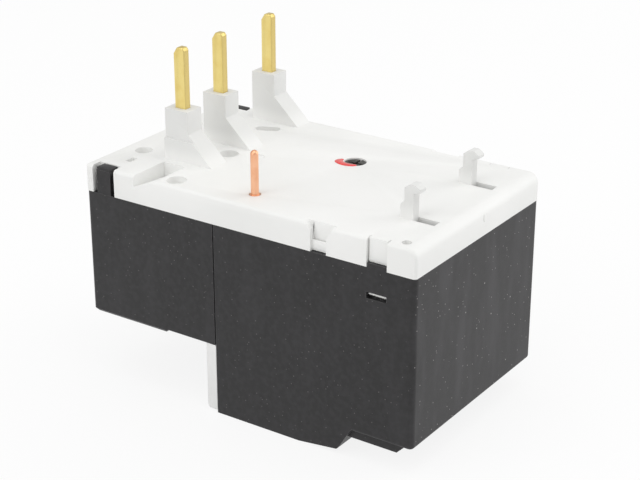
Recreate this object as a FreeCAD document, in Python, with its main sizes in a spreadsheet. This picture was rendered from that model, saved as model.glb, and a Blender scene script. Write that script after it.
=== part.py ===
import FreeCAD, Part
import math
import os
import re

import Sketcher
from FreeCAD import Placement, Rotation, Vector

# Thermal overload relay that plugs under a contactor.
# X runs across the 45 mm width, -Y is the front with the dial and the buttons, +Z points at the contactor.
# Every piece is drawn in one working frame: x from the middle, y from the front face, z from the underside.
# Each sub-part's Placement then moves it to the middle of the relay's depth, buttons included.

SIZES = [
    # the outside
    ("width", 45.0, "across the relay"),
    ("depth", 74.7, "front face to rear face"),
    ("height", 45.0, "underside to the top plate's upper face"),
    ("button_stand", 1.8, "how far the buttons stand out of the front face"),
    ("shell", 1.5, "wall of the black mouldings"),
    ("plate", 2.0, "top plate"),
    ("skirt_drop", 5.5, "skirt of the top plate, from its upper face down"),
    ("skirt_wall", 1.2, "wall of the skirt"),
    ("corner_round", 1.0, "upright outer corners"),
    ("edge_round", 0.7, "outer edges of the plate"),
    ("rear_round", 2.0, "rear top edge of the plate"),
    ("fit_gap", 0.05, "clearance between fixed pieces"),
    ("free_gap", 0.3, "clearance round moving pieces"),
    ("run_gap", 0.05, "radial clearance of a pivot"),
    # the black mouldings
    ("seam", 30.9, "front cover's depth, up to the rear housing"),
    ("cover_drop", 31.4, "top plate's face down to the front cover's underside"),
    ("toe_length", 18.2, "the deeper front stretch of the front cover"),
    ("toe_step", 0.9, "how much deeper that stretch is"),
    ("panel", 2.3, "terminal panel's thickness"),
    ("panel_lift", 0.6, "terminal panel above the underside"),
    ("sole_end", 50.0, "end of the flat underside"),
    ("heel_end", 58.6, "end of the lower block"),
    ("heel_rise", 1.0, "rise of the underside at the lower block's end"),
    ("slope_end", 61.5, "end of the slope behind the lower block"),
    ("rear_lift", 5.7, "underside of the rear part"),
    ("keel_drop", 1.8, "ribs under the rear part"),
    ("keel_wall", 2.0, "wall of those ribs"),
    ("keel_inset", 0.9, "ribs in from the side faces"),
    ("keel_end", 72.5, "rear end of the ribs"),
    ("lip_wall", 1.35, "lip of the mouldings inside the skirt"),
    ("lip_rise", 2.4, "lip above the skirt's lower edge"),
    ("lip_root", 2.0, "lip below the skirt's lower edge"),
    # notches, tongues and hooks of the top plate
    ("corner_tab", 2.6, "front corner tab of the skirt"),
    ("front_lip", 0.9, "plate over the front cover's front wall"),
    ("boss_start", 1.8, "side notch at the front, start"),
    ("boss_end", 7.1, "side notch at the front, end"),
    ("boss_inset", 1.0, "front cover's boss in from the notch's ends"),
    ("boss_lip", 0.6, "plate over that boss"),
    ("notch_start", 52.7, "middle notch, start"),
    ("notch_end", 56.1, "middle notch, end"),
    ("notch_deep", 1.3, "middle notch into the side"),
    ("notch_drop", 3.5, "wall behind the middle notch"),
    ("latch_start", 64.6, "snap tongue's notch, start"),
    ("latch_end", 68.8, "snap tongue's notch, end"),
    ("latch_inset", 0.6, "tongue in from the side face"),
    ("latch_wall", 1.2, "snap tongue's thickness"),
    ("latch_head", 4.6, "the tongue's wide part"),
    ("latch_drop", 12.6, "the tongue's tip below the top"),
    ("window_low", 33.5, "latch window's lower edge"),
    ("window_high", 34.7, "latch window's upper edge"),
    ("hook_place", 10.4, "hooks off the middle"),
    ("hook_wide", 2.0, "hook across"),
    ("hook_front", 65.3, "hook post's front face"),
    ("hook_back", 67.2, "hook post's rear face"),
    ("hook_tall", 6.7, "hook above the plate"),
    ("hook_nose", 2.0, "nose behind the post"),
    ("hook_under", 5.1, "nose's underside above the plate"),
    ("hook_foot", 0.8, "thickening at the post's lower half"),
    ("hook_slot", 4.4, "slot behind the hook"),
    ("hollow_start", 12.1, "wedge hollow's deep end"),
    ("hollow_end", 17.3, "wedge hollow's shallow end"),
    ("hollow_deep", 2.2, "wedge hollow's depth"),
    ("hollow_in", 13.4, "wedge hollow's inner wall off the middle"),
    # blades and their towers
    ("tower_front", 10.8, "towers' front face"),
    ("tower_back", 16.3, "towers' rear face"),
    ("tower_wide", 4.3, "towers across"),
    ("tower_tall", 10.1, "towers above the plate"),
    ("ramp_tall", 5.6, "start of the ramp on a tower's rear face"),
    ("ramp_end", 22.2, "foot of the ramp"),
    ("plinth_wide", 0.5, "thicker foot of the first tower"),
    ("plinth_tall", 4.2, "height of that foot"),
    ("blade_first", 8.8, "first blade off the middle"),
    ("blade_second", -3.1, "second blade off the middle"),
    ("blade_third", -19.4, "third blade off the middle"),
    ("blade_thick", 1.6, "blade across"),
    ("blade_deep", 2.5, "blade front to back"),
    ("blade_reach", 12.1, "blade above its tower"),
    ("blade_tip", 0.8, "chamfer of the blade's tip"),
    ("bar_thick", 1.0, "line bar"),
    ("bar_half", 2.2, "half the line bar's width"),
    ("bar_half_narrow", 1.6, "half its width at the blade"),
    ("bar_end", 49.0, "rear face of the line bar's leg"),
    ("bar_drop", 31.0, "lower end of that leg"),
    # the three heated strips
    ("pole_pitch", 13.6, "pole to pole"),
    ("strip_thick", 1.0, "bimetal strip"),
    ("strip_front", 52.5, "strip's front edge"),
    ("strip_back", 58.5, "strip's rear edge"),
    ("strip_foot", 6.6, "strip's lower end"),
    ("strip_top", 38.2, "strip's free end"),
    ("sleeve_wall", 0.6, "insulating sleeve"),
    ("sleeve_low", 12.0, "sleeve's lower end"),
    ("sleeve_high", 29.0, "sleeve's upper end"),
    ("ribbon_thick", 0.4, "heater ribbon"),
    ("ribbon_wide", 1.5, "heater ribbon's width"),
    ("ribbon_pitch", 2.5, "turn to turn"),
    ("ribbon_turns", 5, "turns of the heater"),
    # load terminals
    ("load_thick", 1.2, "load bar"),
    ("load_half", 2.5, "half the load bar's width"),
    ("tongue_front", 39.2, "load bar's tongue, front face"),
    ("bridge_low", 12.6, "load bar over the clamp"),
    ("leg_front", 49.4, "load bar's leg, front face"),
    ("foot_low", 5.4, "load bar's foot"),
    ("foot_end", 58.9, "load bar's rear end"),
    ("clamp_half", 4.4, "half the cage clamp's width"),
    ("clamp_front", 35.5, "cage clamp's front face"),
    ("clamp_back", 47.0, "cage clamp's rear face"),
    ("clamp_wall", 1.3, "cage clamp's wall"),
    ("clamp_low", 3.0, "cage clamp's lower end"),
    ("clamp_high", 12.0, "cage clamp's upper end"),
    ("screw_level", 7.5, "load screws above the underside"),
    ("screw_r", 2.0, "load screw's shank"),
    ("screw_head_r", 3.4, "load screw's head"),
    ("screw_head", 2.4, "load screw's head, thickness"),
    ("driver_r", 3.1, "driver holes in the terminal panel"),
    ("wire_half", 3.7, "half a load wire's entry"),
    ("wire_front", 40.9, "load wire's entry, front"),
    ("wire_back", 45.9, "load wire's entry, rear"),
    ("pole_wall", 1.2, "walls between the poles"),
    ("pole_wall_top", 33.9, "top of those walls, under the slides"),
    # small terminals
    ("small_pitch", 8.4, "small terminal to small terminal"),
    ("small_level", 19.6, "small screws above the underside"),
    ("small_screw_r", 1.45, "small screw's shank"),
    ("small_head_r", 2.7, "small screw's head"),
    ("small_head_front", 2.8, "small screw's head, front face"),
    ("small_head", 1.6, "small screw's head, thickness"),
    ("small_driver_r", 2.5, "driver holes in the front cover"),
    ("saddle_front", 4.4, "clamp saddle's front face"),
    ("saddle", 1.0, "clamp saddle"),
    ("saddle_half", 2.9, "half the saddle's width"),
    ("entry_half", 3.2, "half a small wire's entry"),
    ("entry_front", 4.2, "small wire's entry, front"),
    ("entry_back", 8.9, "small wire's entry, rear"),
    ("contact_bar", 0.8, "contact bar"),
    ("contact_half", 1.5, "half the contact bar's width"),
    ("contact_foot", 3.0, "half the width of its terminal end"),
    ("contact_front", 9.0, "terminal end's front face"),
    ("contact_low", 15.8, "terminal end's lower edge"),
    ("contact_top", 31.6, "upper end of a fixed contact"),
    ("closed_front", 17.0, "normally closed contact's front face"),
    ("open_front", 15.8, "normally open contact's front face"),
    ("tip_r", 1.1, "silver contact tip"),
    ("tip_thick", 0.4, "silver contact tip's height"),
    ("contact_level", 29.8, "contact tips above the underside"),
    ("contact_gap", 0.1, "drawn gap of the closed contact"),
    # inner moulding
    ("floor_low", 25.0, "inner floor's underside"),
    ("floor", 1.2, "inner floor"),
    ("rear_wall_front", 29.3, "inner rear wall's front face"),
    ("rear_wall", 1.5, "inner rear wall"),
    ("rear_wall_top", 41.6, "inner rear wall's top"),
    ("guide_front", 7.4, "guide wall behind the buttons"),
    ("guide_wall", 1.2, "guide wall"),
    ("guide_top", 38.6, "guide wall's top"),
    # trip slides
    ("slide_thick", 1.2, "trip slides"),
    ("slide_low", 34.0, "main slide's underside"),
    ("slide_step", 1.4, "differential slide above the main one"),
    ("slide_front", 50.0, "slides' front edge"),
    ("slide_back", 51.6, "back of the slides' bar"),
    ("slide_half", 17.6, "half the slides' length"),
    ("finger", 1.4, "slide's finger"),
    ("finger_end", 58.0, "finger's rear end"),
    ("link_place", -9.9, "differential lever's pins off the middle"),
    ("link_front", 50.8, "main slide's pin"),
    ("link_back", 54.8, "differential slide's pin"),
    ("link_pin_r", 0.7, "those pins"),
    ("link_half", 1.2, "half the differential lever's width"),
    ("link_low", 37.2, "differential lever's underside"),
    # trip lever and its pivot, the calibration screw
    ("pivot_x", -7.5, "calibration screw off the middle"),
    ("pivot_y", 42.6, "calibration screw behind the front"),
    ("pivot_r", 1.25, "calibration screw's stem"),
    ("pivot_head_r", 2.2, "calibration screw's head"),
    ("pivot_head", 1.7, "calibration screw's head, thickness"),
    ("pivot_low", 35.2, "lower end of the stem"),
    ("hub_r", 2.6, "trip lever's hub"),
    ("hub_low", 36.4, "hub's underside"),
    ("hub_top", 39.8, "hub's top"),
    ("arm_low", 38.4, "arms' underside"),
    ("arm_half", 0.8, "half an arm's width"),
    ("catch_front", 24.2, "front end of the trip lever"),
    ("catch_long", 1.6, "trip lever's finger along its arm"),
    ("catch_low", 35.6, "lower end of that finger"),
    ("ambient_thick", 0.6, "compensating strip"),
    ("ambient_front", 44.0, "compensating strip's front end"),
    ("ambient_back", 51.2, "compensating strip's free end"),
    ("ambient_low", 37.0, "compensating strip's lower edge"),
    # setting lever
    ("setting_x", 5.0, "setting lever's pivot off the middle"),
    ("setting_y", 33.0, "setting lever's pivot behind the front"),
    ("setting_pin_r", 0.8, "setting lever's pin"),
    ("setting_hub_r", 2.0, "setting lever's hub"),
    ("setting_top", 39.6, "setting lever's upper face"),
    ("stop_x", -3.9, "stop finger off the middle"),
    ("stop_y", 44.4, "stop finger behind the front"),
    ("stop_r", 0.8, "stop finger"),
    ("follower_y", 21.0, "cam follower behind the front"),
    ("follower_r", 0.9, "cam follower"),
    # dial
    ("dial_x", 13.0, "dial off the middle"),
    ("dial_z", 35.5, "dial above the underside"),
    ("dial_r", 5.0, "dial"),
    ("dial_stand", 0.5, "dial in front of the cover"),
    ("collar_r", 5.9, "collar behind the cover"),
    ("shaft_r", 2.0, "dial's shaft"),
    ("bearing_front", 16.6, "shaft's bearing"),
    ("bearing_long", 2.0, "shaft's bearing, length"),
    ("cam_front", 20.0, "cam's front face"),
    ("cam_thick", 2.0, "cam"),
    ("cam_low_r", 2.8, "cam's radius at the lowest setting"),
    ("cam_high_r", 4.0, "cam's radius at the highest setting"),
    ("dial_turn", 240, "dial's turn in degrees"),
    # buttons
    ("button_z", 36.0, "buttons above the underside"),
    ("button_half", 3.2, "half the reset button's side"),
    ("reset_x", 2.5, "reset button off the middle"),
    ("test_x", -6.5, "test button off the middle"),
    ("test_half", 2.3, "half the test button's width"),
    ("flange_out", 0.5, "button's flange behind the cover"),
    ("flange", 1.0, "flange's thickness"),
    ("stem_half", 1.2, "half the reset button's stem"),
    ("leg_low", 29.0, "reset button's leg, lower end"),
    ("leg_high", 32.0, "top of its nose"),
    ("leg_back", 10.6, "reset button's leg, rear face"),
    ("leg", 1.6, "reset button's leg, thickness"),
    ("test_stem_x", -5.8, "test button's stem off the middle"),
    ("test_stem_half", 0.6, "half that stem"),
    ("test_stem_back", 22.2, "that stem's rear end"),
    ("spring_wire_r", 0.25, "spring wire"),
    ("spring_turns", 4, "turns of a spring"),
    ("reset_spring_r", 2.2, "reset spring"),
    ("test_spring_r", 1.5, "test spring"),
    ("snap_spring_r", 1.8, "snap spring"),
    ("snap_spring_x", -13.0, "snap spring off the middle"),
    ("snap_spring_z", 30.0, "snap spring above the underside"),
    # contact carrier
    ("carrier_low", 26.6, "carrier's underside"),
    ("carrier_top", 33.0, "carrier's top"),
    ("carrier_front", 19.6, "carrier's cross bar, front face"),
    ("carrier_back", 22.6, "carrier's cross bar, rear face"),
    ("carrier_left", -18.0, "carrier's left end"),
    ("carrier_right", 6.2, "carrier's right end"),
    ("carrier_arm_x", 4.2, "arm of the closed contact off the middle"),
    ("carrier_arm_half", 1.0, "half that arm"),
    ("carrier_arm_front", 14.4, "that arm's front end"),
    ("bridge_thick", 0.5, "contact bridge"),
    ("bridge_half", 5.8, "half a contact bridge's length"),
    ("bridge_high", 1.2, "half a contact bridge's height"),
    ("flag_x", -4.2, "trip flag off the middle"),
    ("flag_half", 1.4, "half the trip flag's width"),
    ("flag_z", 30.4, "trip flag above the underside"),
    ("flag_high", 1.0, "half the trip flag's height"),
    ("flag_front", 1.7, "trip flag's front end"),
    # link pin to the contactor's coil
    ("link_x", 17.0, "copper pin off the middle"),
    ("link_y", 36.6, "copper pin behind the front"),
    ("link_r", 0.75, "copper pin above the plate"),
    ("link_shank_r", 1.0, "copper pin below the plate's face"),
    ("link_tall", 8.65, "copper pin above the plate"),
    ("link_foot", 29.0, "copper pin's lower end"),
    ("ferrule_r", 1.6, "ferrule round the pin"),
    ("ferrule_long", 4.0, "ferrule's length"),
    ("lacquer_r", 2.0, "sealing lacquer"),
    ("lacquer_tall", 0.4, "sealing lacquer above the plate"),
]

# round sinkings in the top plate: x, y, radius, depth
MARKS = {
    "a": (10.5, 4.7, 1.75, 0.5),
    "b": (19.6, 20.2, 1.95, 0.5),
    "c": (2.7, 19.7, 1.95, 0.9),
    "d": (0.9, 25.4, 1.5, 0.3),
    "e": (-8.3, 4.0, 0.6, 0.4),
    "f": (20.3, 71.4, 0.9, 1.2),
}
for letter, values in MARKS.items():
    SIZES += [(f"mark_{letter}_{kind}", value, f"sinking {letter}, {kind}")
              for kind, value in zip(("x", "y", "radius", "depth"), values)]

doc = FreeCAD.newDocument("thermal_overload_relay")
sheet = doc.addObject("Spreadsheet::Sheet", "sizes")
for row, (alias, value, meaning) in enumerate(SIZES, start=1):
    sheet.set(f"A{row}", meaning)
    sheet.set(f"B{row}", str(value))
    sheet.setAlias(f"B{row}", alias)
doc.recompute()

ALIASES = {alias for alias, value, meaning in SIZES}
SUBPARTS = {}

# levels and faces that many pieces share
SIDE = "width / 2"
INNER = "(width / 2 - shell)"
TOP = "height"
UNDER = "(height - plate)"
RIM = "(height - skirt_drop)"
COVER_LOW = "(height - cover_drop)"
FLOOR_TOP = "(floor_low + floor)"
REAR_WALL_BACK = "(rear_wall_front + rear_wall)"
TOWER_TOP = "(height + tower_tall)"
BAR_LOW = "(height - plate - bar_thick)"
POLES = ["pole_pitch", "0", "(-pole_pitch)"]
BLADES = ["blade_first", "blade_second", "blade_third"]
BLADE_Y = "((tower_front + tower_back) / 2)"


def sized(text):
    """The expression with every size looked up in the sheet."""
    return re.sub(r"[a-z_]+", lambda word: "sizes." * (word[0] in ALIASES) + word[0], str(text))


def number(text):
    """The expression's present value."""
    value = sheet.evalExpression(str(text))
    return float(getattr(value, "Value", value))


def bind(thing, prop, text):
    thing.setExpression(prop, sized(text))


def sub_part(solid, name):
    """Names a finished sub-part and moves it from the working frame to the relay's own frame."""
    solid.Label = name
    own_place = dict(solid.ExpressionEngine).get(".Placement.Base.y", "0")
    solid.setExpression("Placement.Base.y", f"{own_place} + {sized('(button_stand - depth) / 2')}")
    SUBPARTS[name] = solid
    return solid


def mirrored(corners):
    """The same outline on the other side of the relay."""
    return [(f"-({x})", z) for x, z in corners]


# ---- Part primitives between two expressions on each axis ----

TURNED = {
    "x": Rotation(Vector(0, 0, 1), Vector(1, 0, 0)),
    "y": Rotation(Vector(0, 0, 1), Vector(0, 1, 0)),
    "z": Rotation(),
}


def block(name, x, y, z):
    solid = doc.addObject("Part::Box", name)
    for prop, axis, (low, high) in (("Length", "x", x), ("Width", "y", y), ("Height", "z", z)):
        bind(solid, prop, f"({high}) - ({low})")
        bind(solid, f"Placement.Base.{axis}", low)
    return solid


def rod(name, axis, centre, radius, span):
    """A cylinder along an axis; centre holds the other two coordinates in X, Y, Z order."""
    solid = doc.addObject("Part::Cylinder", name)
    solid.Placement = Placement(Vector(), TURNED[axis])
    bind(solid, "Radius", radius)
    bind(solid, "Height", f"({span[1]}) - ({span[0]})")
    places = dict(zip([letter for letter in "xyz" if letter != axis], centre))
    places[axis] = span[0]
    for letter, text in places.items():
        bind(solid, f"Placement.Base.{letter}", text)
    return solid


def joined(name, solids):
    fuse = doc.addObject("Part::MultiFuse", name)
    fuse.Shapes = solids
    return fuse


def cut_away(name, base, tools):
    cut = doc.addObject("Part::Cut", name)
    cut.Base = base
    cut.Tool = tools[0] if len(tools) == 1 else joined(name + "_tools", tools)
    return cut


def grouped(name, solids):
    """Separate solids that share one node."""
    group = doc.addObject("Part::Compound", name)
    group.Links = solids
    return group


def coil(name, centre_x, centre_z, radius, span):
    """A compression spring along Y: a loft through sections of its wire, so many to the turn."""
    turn_r, wire_r = number(radius), number("spring_wire_r")
    length = number(f"({span[1]}) - ({span[0]}) - 2 * spring_wire_r")
    per_turn, sides = 12, 8
    steps = per_turn * int(number("spring_turns"))
    sections = []
    for step in range(steps + 1):
        angle = math.tau * step / per_turn
        outward = Vector(math.cos(angle), 0, math.sin(angle))
        middle = outward * turn_r + Vector(0, length * step / steps, 0)
        corners = [middle + outward * wire_r * math.cos(math.tau * k / sides)
                   + Vector(0, wire_r * math.sin(math.tau * k / sides), 0) for k in range(sides)]
        sections.append(Part.makePolygon(corners + corners[:1]))
    spring = doc.addObject("Part::Feature", name)
    spring.Shape = Part.makeLoft(sections, True, True)
    bind(spring, "Placement.Base.x", centre_x)
    bind(spring, "Placement.Base.y", f"{span[0]} + spring_wire_r")
    bind(spring, "Placement.Base.z", centre_z)
    return spring


# ---- PartDesign bodies; a sketch's normal is its axis, and spans run from low to high ----

PLANES = {"x": "YZ_Plane", "y": "XZ_Plane", "z": "XY_Plane"}


def new_body(name):
    return doc.addObject("PartDesign::Body", name + "_body")


def new_sketch(body, name, axis, level):
    sketch = body.newObject("Sketcher::SketchObject", name)
    plane = next(part for part in body.Origin.OriginFeatures if part.Role == PLANES[axis])
    sketch.AttachmentSupport = (plane, [""])
    sketch.MapMode = "FlatFace"
    # the XZ plane looks along -Y
    bind(sketch, "AttachmentOffset.Base.z", f"-({level})" if axis == "y" else level)
    return sketch


def hold(sketch, kind, geometry, point, text):
    index = sketch.addConstraint(Sketcher.Constraint(kind, -1, 1, geometry, point, number(text)))
    bind(sketch, f"Constraints[{index}]", text)


def draw_outline(sketch, corners):
    """A closed outline of straight edges, each corner held by its two expressions."""
    count = len(corners)
    first = sketch.GeometryCount
    spots = [Vector(number(u), number(v), 0) for u, v in corners]
    for k in range(count):
        sketch.addGeometry(Part.LineSegment(spots[k], spots[(k + 1) % count]))
    for k in range(count):
        following = first + (k + 1) % count
        sketch.addConstraint(Sketcher.Constraint("Coincident", first + k, 2, following, 1))
    for k, (u, v) in enumerate(corners):
        hold(sketch, "DistanceX", first + k, 1, u)
        hold(sketch, "DistanceY", first + k, 1, v)


def draw_circles(sketch, centres, radius):
    for u, v in centres:
        index = sketch.addGeometry(Part.Circle(Vector(number(u), number(v), 0), Vector(0, 0, 1), number(radius)))
        hold(sketch, "DistanceX", index, 3, u)
        hold(sketch, "DistanceY", index, 3, v)
        size = sketch.addConstraint(Sketcher.Constraint("Radius", index, number(radius)))
        bind(sketch, f"Constraints[{size}]", radius)


def rectangle(u, v):
    return [(u[0], v[0]), (u[1], v[0]), (u[1], v[1]), (u[0], v[1])]


def extrude(body, kind, name, axis, span, draw):
    """A Pad fills the span and a Pocket empties it, whatever the sketch plane's own direction."""
    adds = kind == "PartDesign::Pad"
    starts_low = adds or axis == "y"
    sketch = new_sketch(body, name + "_sketch", axis, span[0] if starts_low else span[1])
    draw(sketch)
    feature = body.newObject(kind, name)
    feature.Profile = sketch
    feature.Reversed = adds and axis == "y"
    bind(feature, "Length", f"({span[1]}) - ({span[0]})")
    return feature


def pad(body, name, axis, corners, span):
    return extrude(body, "PartDesign::Pad", name, axis, span, lambda sketch: draw_outline(sketch, corners))


def post(body, name, axis, centres, radius, span):
    return extrude(body, "PartDesign::Pad", name, axis, span, lambda sketch: draw_circles(sketch, centres, radius))


def pocket(body, name, axis, corners, span):
    return extrude(body, "PartDesign::Pocket", name, axis, span, lambda sketch: draw_outline(sketch, corners))


def bore(body, name, axis, centres, radius, span):
    return extrude(body, "PartDesign::Pocket", name, axis, span, lambda sketch: draw_circles(sketch, centres, radius))


def edge_names(feature, along, **at):
    """Straight edges along an axis whose other coordinates are among the expressions given."""
    names = []
    for index, edge in enumerate(feature.Shape.Edges, start=1):
        if edge.Degenerated or edge.Curve.TypeId != "Part::GeomLine":
            continue
        start, end = edge.Vertexes[0].Point, edge.Vertexes[-1].Point
        others = [letter for letter in "xyz" if letter != along]
        if any(abs(getattr(start, letter) - getattr(end, letter)) > 1e-6 for letter in others):
            continue
        if all(any(abs(getattr(start, letter) - number(text)) < 1e-4 for text in texts)
               for letter, texts in at.items()):
            names.append(f"Edge{index}")
    return names


def soften(body, kind, name, size, groups):
    """A Fillet or Chamfer on edges of the body's present tip; each group is (along, {letter: expressions})."""
    doc.recompute()
    tip = body.Tip
    names = [edge for along, at in groups for edge in edge_names(tip, along, **at)]
    feature = body.newObject("PartDesign::" + kind, name)
    feature.Base = (tip, names)
    bind(feature, "Radius" if kind == "Fillet" else "Size", size)
    body.Tip = feature
    return feature


def both_sides(low, high):
    """The same stretch of X on the right and on the left."""
    return [(f"({low})", f"({high})"), (f"-({high})", f"-({low})")]


# ---- the mouldings that make the case ----

def make_top_plate():
    body = new_body("top_plate")
    pad(body, "slab", "z", rectangle((f"-{SIDE}", SIDE), ("0", "depth")), (RIM, TOP))
    sides = [f"-{SIDE}", SIDE]
    soften(body, "Fillet", "rear_edge", "rear_round", [("x", {"y": ["depth"], "z": [TOP]})])
    # the side edges run on round the rear edge and down the rear corners
    soften(body, "Fillet", "outer_edges", "edge_round",
           [("y", {"x": sides, "z": [TOP]}), ("z", {"x": sides, "y": ["0"]}), ("x", {"y": ["0"], "z": [TOP]})])
    inside = f"({SIDE} - skirt_wall)"
    pocket(body, "underside", "z", rectangle((f"-{inside}", inside), ("skirt_wall", "depth - skirt_wall")),
           (RIM, UNDER))
    # a boss for the setting lever's pin, one for the calibration screw and a floor under the wedge hollow
    post(body, "setting_boss", "z", [("setting_x", "setting_y")], "setting_hub_r", (f"{UNDER} - plate", UNDER))
    post(body, "pivot_boss", "z", [("pivot_x", "pivot_y")], "hub_r", (f"{UNDER} - plate", UNDER))
    pad(body, "hollow_floor", "z",
        rectangle(("hollow_in - skirt_wall", f"{SIDE} - skirt_wall"),
                  ("hollow_start - skirt_wall", "hollow_end + skirt_wall")),
        (BAR_LOW, UNDER))
    # the front cover's front wall stands between the two corner tabs
    between_tabs = f"({SIDE} - corner_tab)"
    pocket(body, "front_gap", "z", rectangle((f"-{between_tabs}", between_tabs), ("0", "skirt_wall")),
           (RIM, f"{TOP} - front_lip"))
    for side, reach in zip(("right", "left"), both_sides(f"{SIDE} - shell", SIDE)):
        pocket(body, f"boss_notch_{side}", "z", rectangle(reach, ("boss_start", "boss_end")),
               (RIM, f"{TOP} - boss_lip"))
    # the middle notch has an inner wall of its own
    notch_back = f"{SIDE} - notch_deep"
    for side, reach in zip(("right", "left"), both_sides(f"{notch_back} - skirt_wall", notch_back)):
        pad(body, f"notch_wall_{side}", "z",
            rectangle(reach, ("notch_start - skirt_wall", "notch_end + skirt_wall")),
            (f"{TOP} - notch_drop", f"{UNDER} + plate / 2"))
    for side, reach in zip(("right", "left"), both_sides(notch_back, SIDE)):
        pocket(body, f"notch_{side}", "z", rectangle(reach, ("notch_start", "notch_end")), (RIM, TOP))
    # the snap tongue: a wide head between the skirt's ends, a thinner leaf inside the wall, and its barb
    head = both_sides(f"{INNER} - latch_wall", f"{SIDE} - latch_inset")
    leaf = both_sides(f"{INNER} - latch_wall", f"{INNER} - fit_gap")
    barb_tip = f"{SIDE} - latch_inset"
    barb = [(f"{INNER} - latch_wall", "window_low + 4 * fit_gap"), (barb_tip, "(window_low + window_high) / 2"),
            (barb_tip, "window_high - fit_gap"), (f"{INNER} - latch_wall", "window_high - fit_gap")]
    tongue_y = ("latch_start + 4 * fit_gap", "latch_end - 4 * fit_gap")
    for side, notch, wide, thin, tip in zip(("right", "left"), both_sides(INNER, SIDE), head, leaf,
                                            (barb, mirrored(barb))):
        pocket(body, f"latch_notch_{side}", "z", rectangle(notch, ("latch_start", "latch_end")), (RIM, TOP))
        pad(body, f"latch_head_{side}", "z", rectangle(wide, tongue_y), (f"{TOP} - latch_head", TOP))
        pad(body, f"latch_leaf_{side}", "z", rectangle(thin, tongue_y),
            (f"{TOP} - latch_drop", f"{TOP} - latch_head"))
        pad(body, f"latch_barb_{side}", "y", tip, tongue_y)
    for count, place in enumerate(BLADES, start=1):
        across = (f"{place} - tower_wide / 2", f"{place} + tower_wide / 2")
        pad(body, f"tower_{count}", "x",
            [("tower_front", f"{TOP} - plate / 2"), ("ramp_end", f"{TOP} - plate / 2"), ("ramp_end", TOP),
             ("tower_back", f"{TOP} + ramp_tall"), ("tower_back", TOWER_TOP), ("tower_front", TOWER_TOP)],
            across)
        if count == 1:
            pad(body, "plinth", "x",
                [("tower_front", f"{TOP} - plate / 2"), ("ramp_end", f"{TOP} - plate / 2"), ("ramp_end", TOP),
                 ("tower_back + ramp_tall - plinth_tall", f"{TOP} + plinth_tall"),
                 ("tower_front", f"{TOP} + plinth_tall")],
                (across[1], f"{across[1]} + plinth_wide"))
    for count, place in enumerate(BLADES, start=1):
        pocket(body, f"blade_slot_{count}", "z",
               rectangle((f"{place} - blade_thick / 2 - fit_gap", f"{place} + blade_thick / 2 + fit_gap"),
                         (f"{BLADE_Y} - blade_deep / 2 - fit_gap", f"{BLADE_Y} + blade_deep / 2 + fit_gap")),
               (UNDER, TOWER_TOP))
    for side, place in (("right", "hook_place"), ("left", "(-hook_place)")):
        across = (f"{place} - hook_wide / 2", f"{place} + hook_wide / 2")
        pad(body, f"hook_{side}", "x",
            [("hook_front - hook_foot", f"{TOP} - plate / 2"), ("hook_back", f"{TOP} - plate / 2"),
             ("hook_back", f"{TOP} + hook_under"), ("hook_back + hook_nose", f"{TOP} + hook_under"),
             ("hook_back + hook_nose", f"{TOP} + hook_under + hook_foot"), ("hook_back", f"{TOP} + hook_tall"),
             ("hook_front + hook_foot", f"{TOP} + hook_tall"),
             ("hook_front", f"{TOP} + hook_tall - hook_foot"),
             ("hook_front", f"{TOP} + hook_tall / 2"),
             ("hook_front - hook_foot", f"{TOP} + hook_tall / 2 - hook_foot")],
            across)
        pocket(body, f"hook_slot_{side}", "z", rectangle(across, ("hook_back", "hook_back + hook_slot")),
               (UNDER, TOP))
    pocket(body, "hollow", "x",
           [("hollow_start", TOP), ("hollow_start", f"{TOP} - hollow_deep"), ("hollow_end", TOP)],
           ("hollow_in", SIDE))
    for letter in MARKS:
        bore(body, f"mark_{letter}", "z", [(f"mark_{letter}_x", f"mark_{letter}_y")], f"mark_{letter}_radius",
             (f"{TOP} - mark_{letter}_depth", TOP))
    bore(body, "calibration_seat", "z", [("pivot_x", "pivot_y")], "pivot_head_r + fit_gap",
         (f"{TOP} - pivot_head", TOP))
    bore(body, "calibration_hole", "z", [("pivot_x", "pivot_y")], "pivot_r + fit_gap",
         (f"{UNDER} - plate", f"{TOP} - pivot_head"))
    bore(body, "link_hole", "z", [("link_x", "link_y")], "link_shank_r + 3 * fit_gap", (UNDER, TOP))
    bore(body, "setting_hole", "z", [("setting_x", "setting_y")], "setting_pin_r + fit_gap",
         (f"{UNDER} - plate", f"{UNDER} + plate / 2"))
    return sub_part(body, "top_plate")


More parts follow.
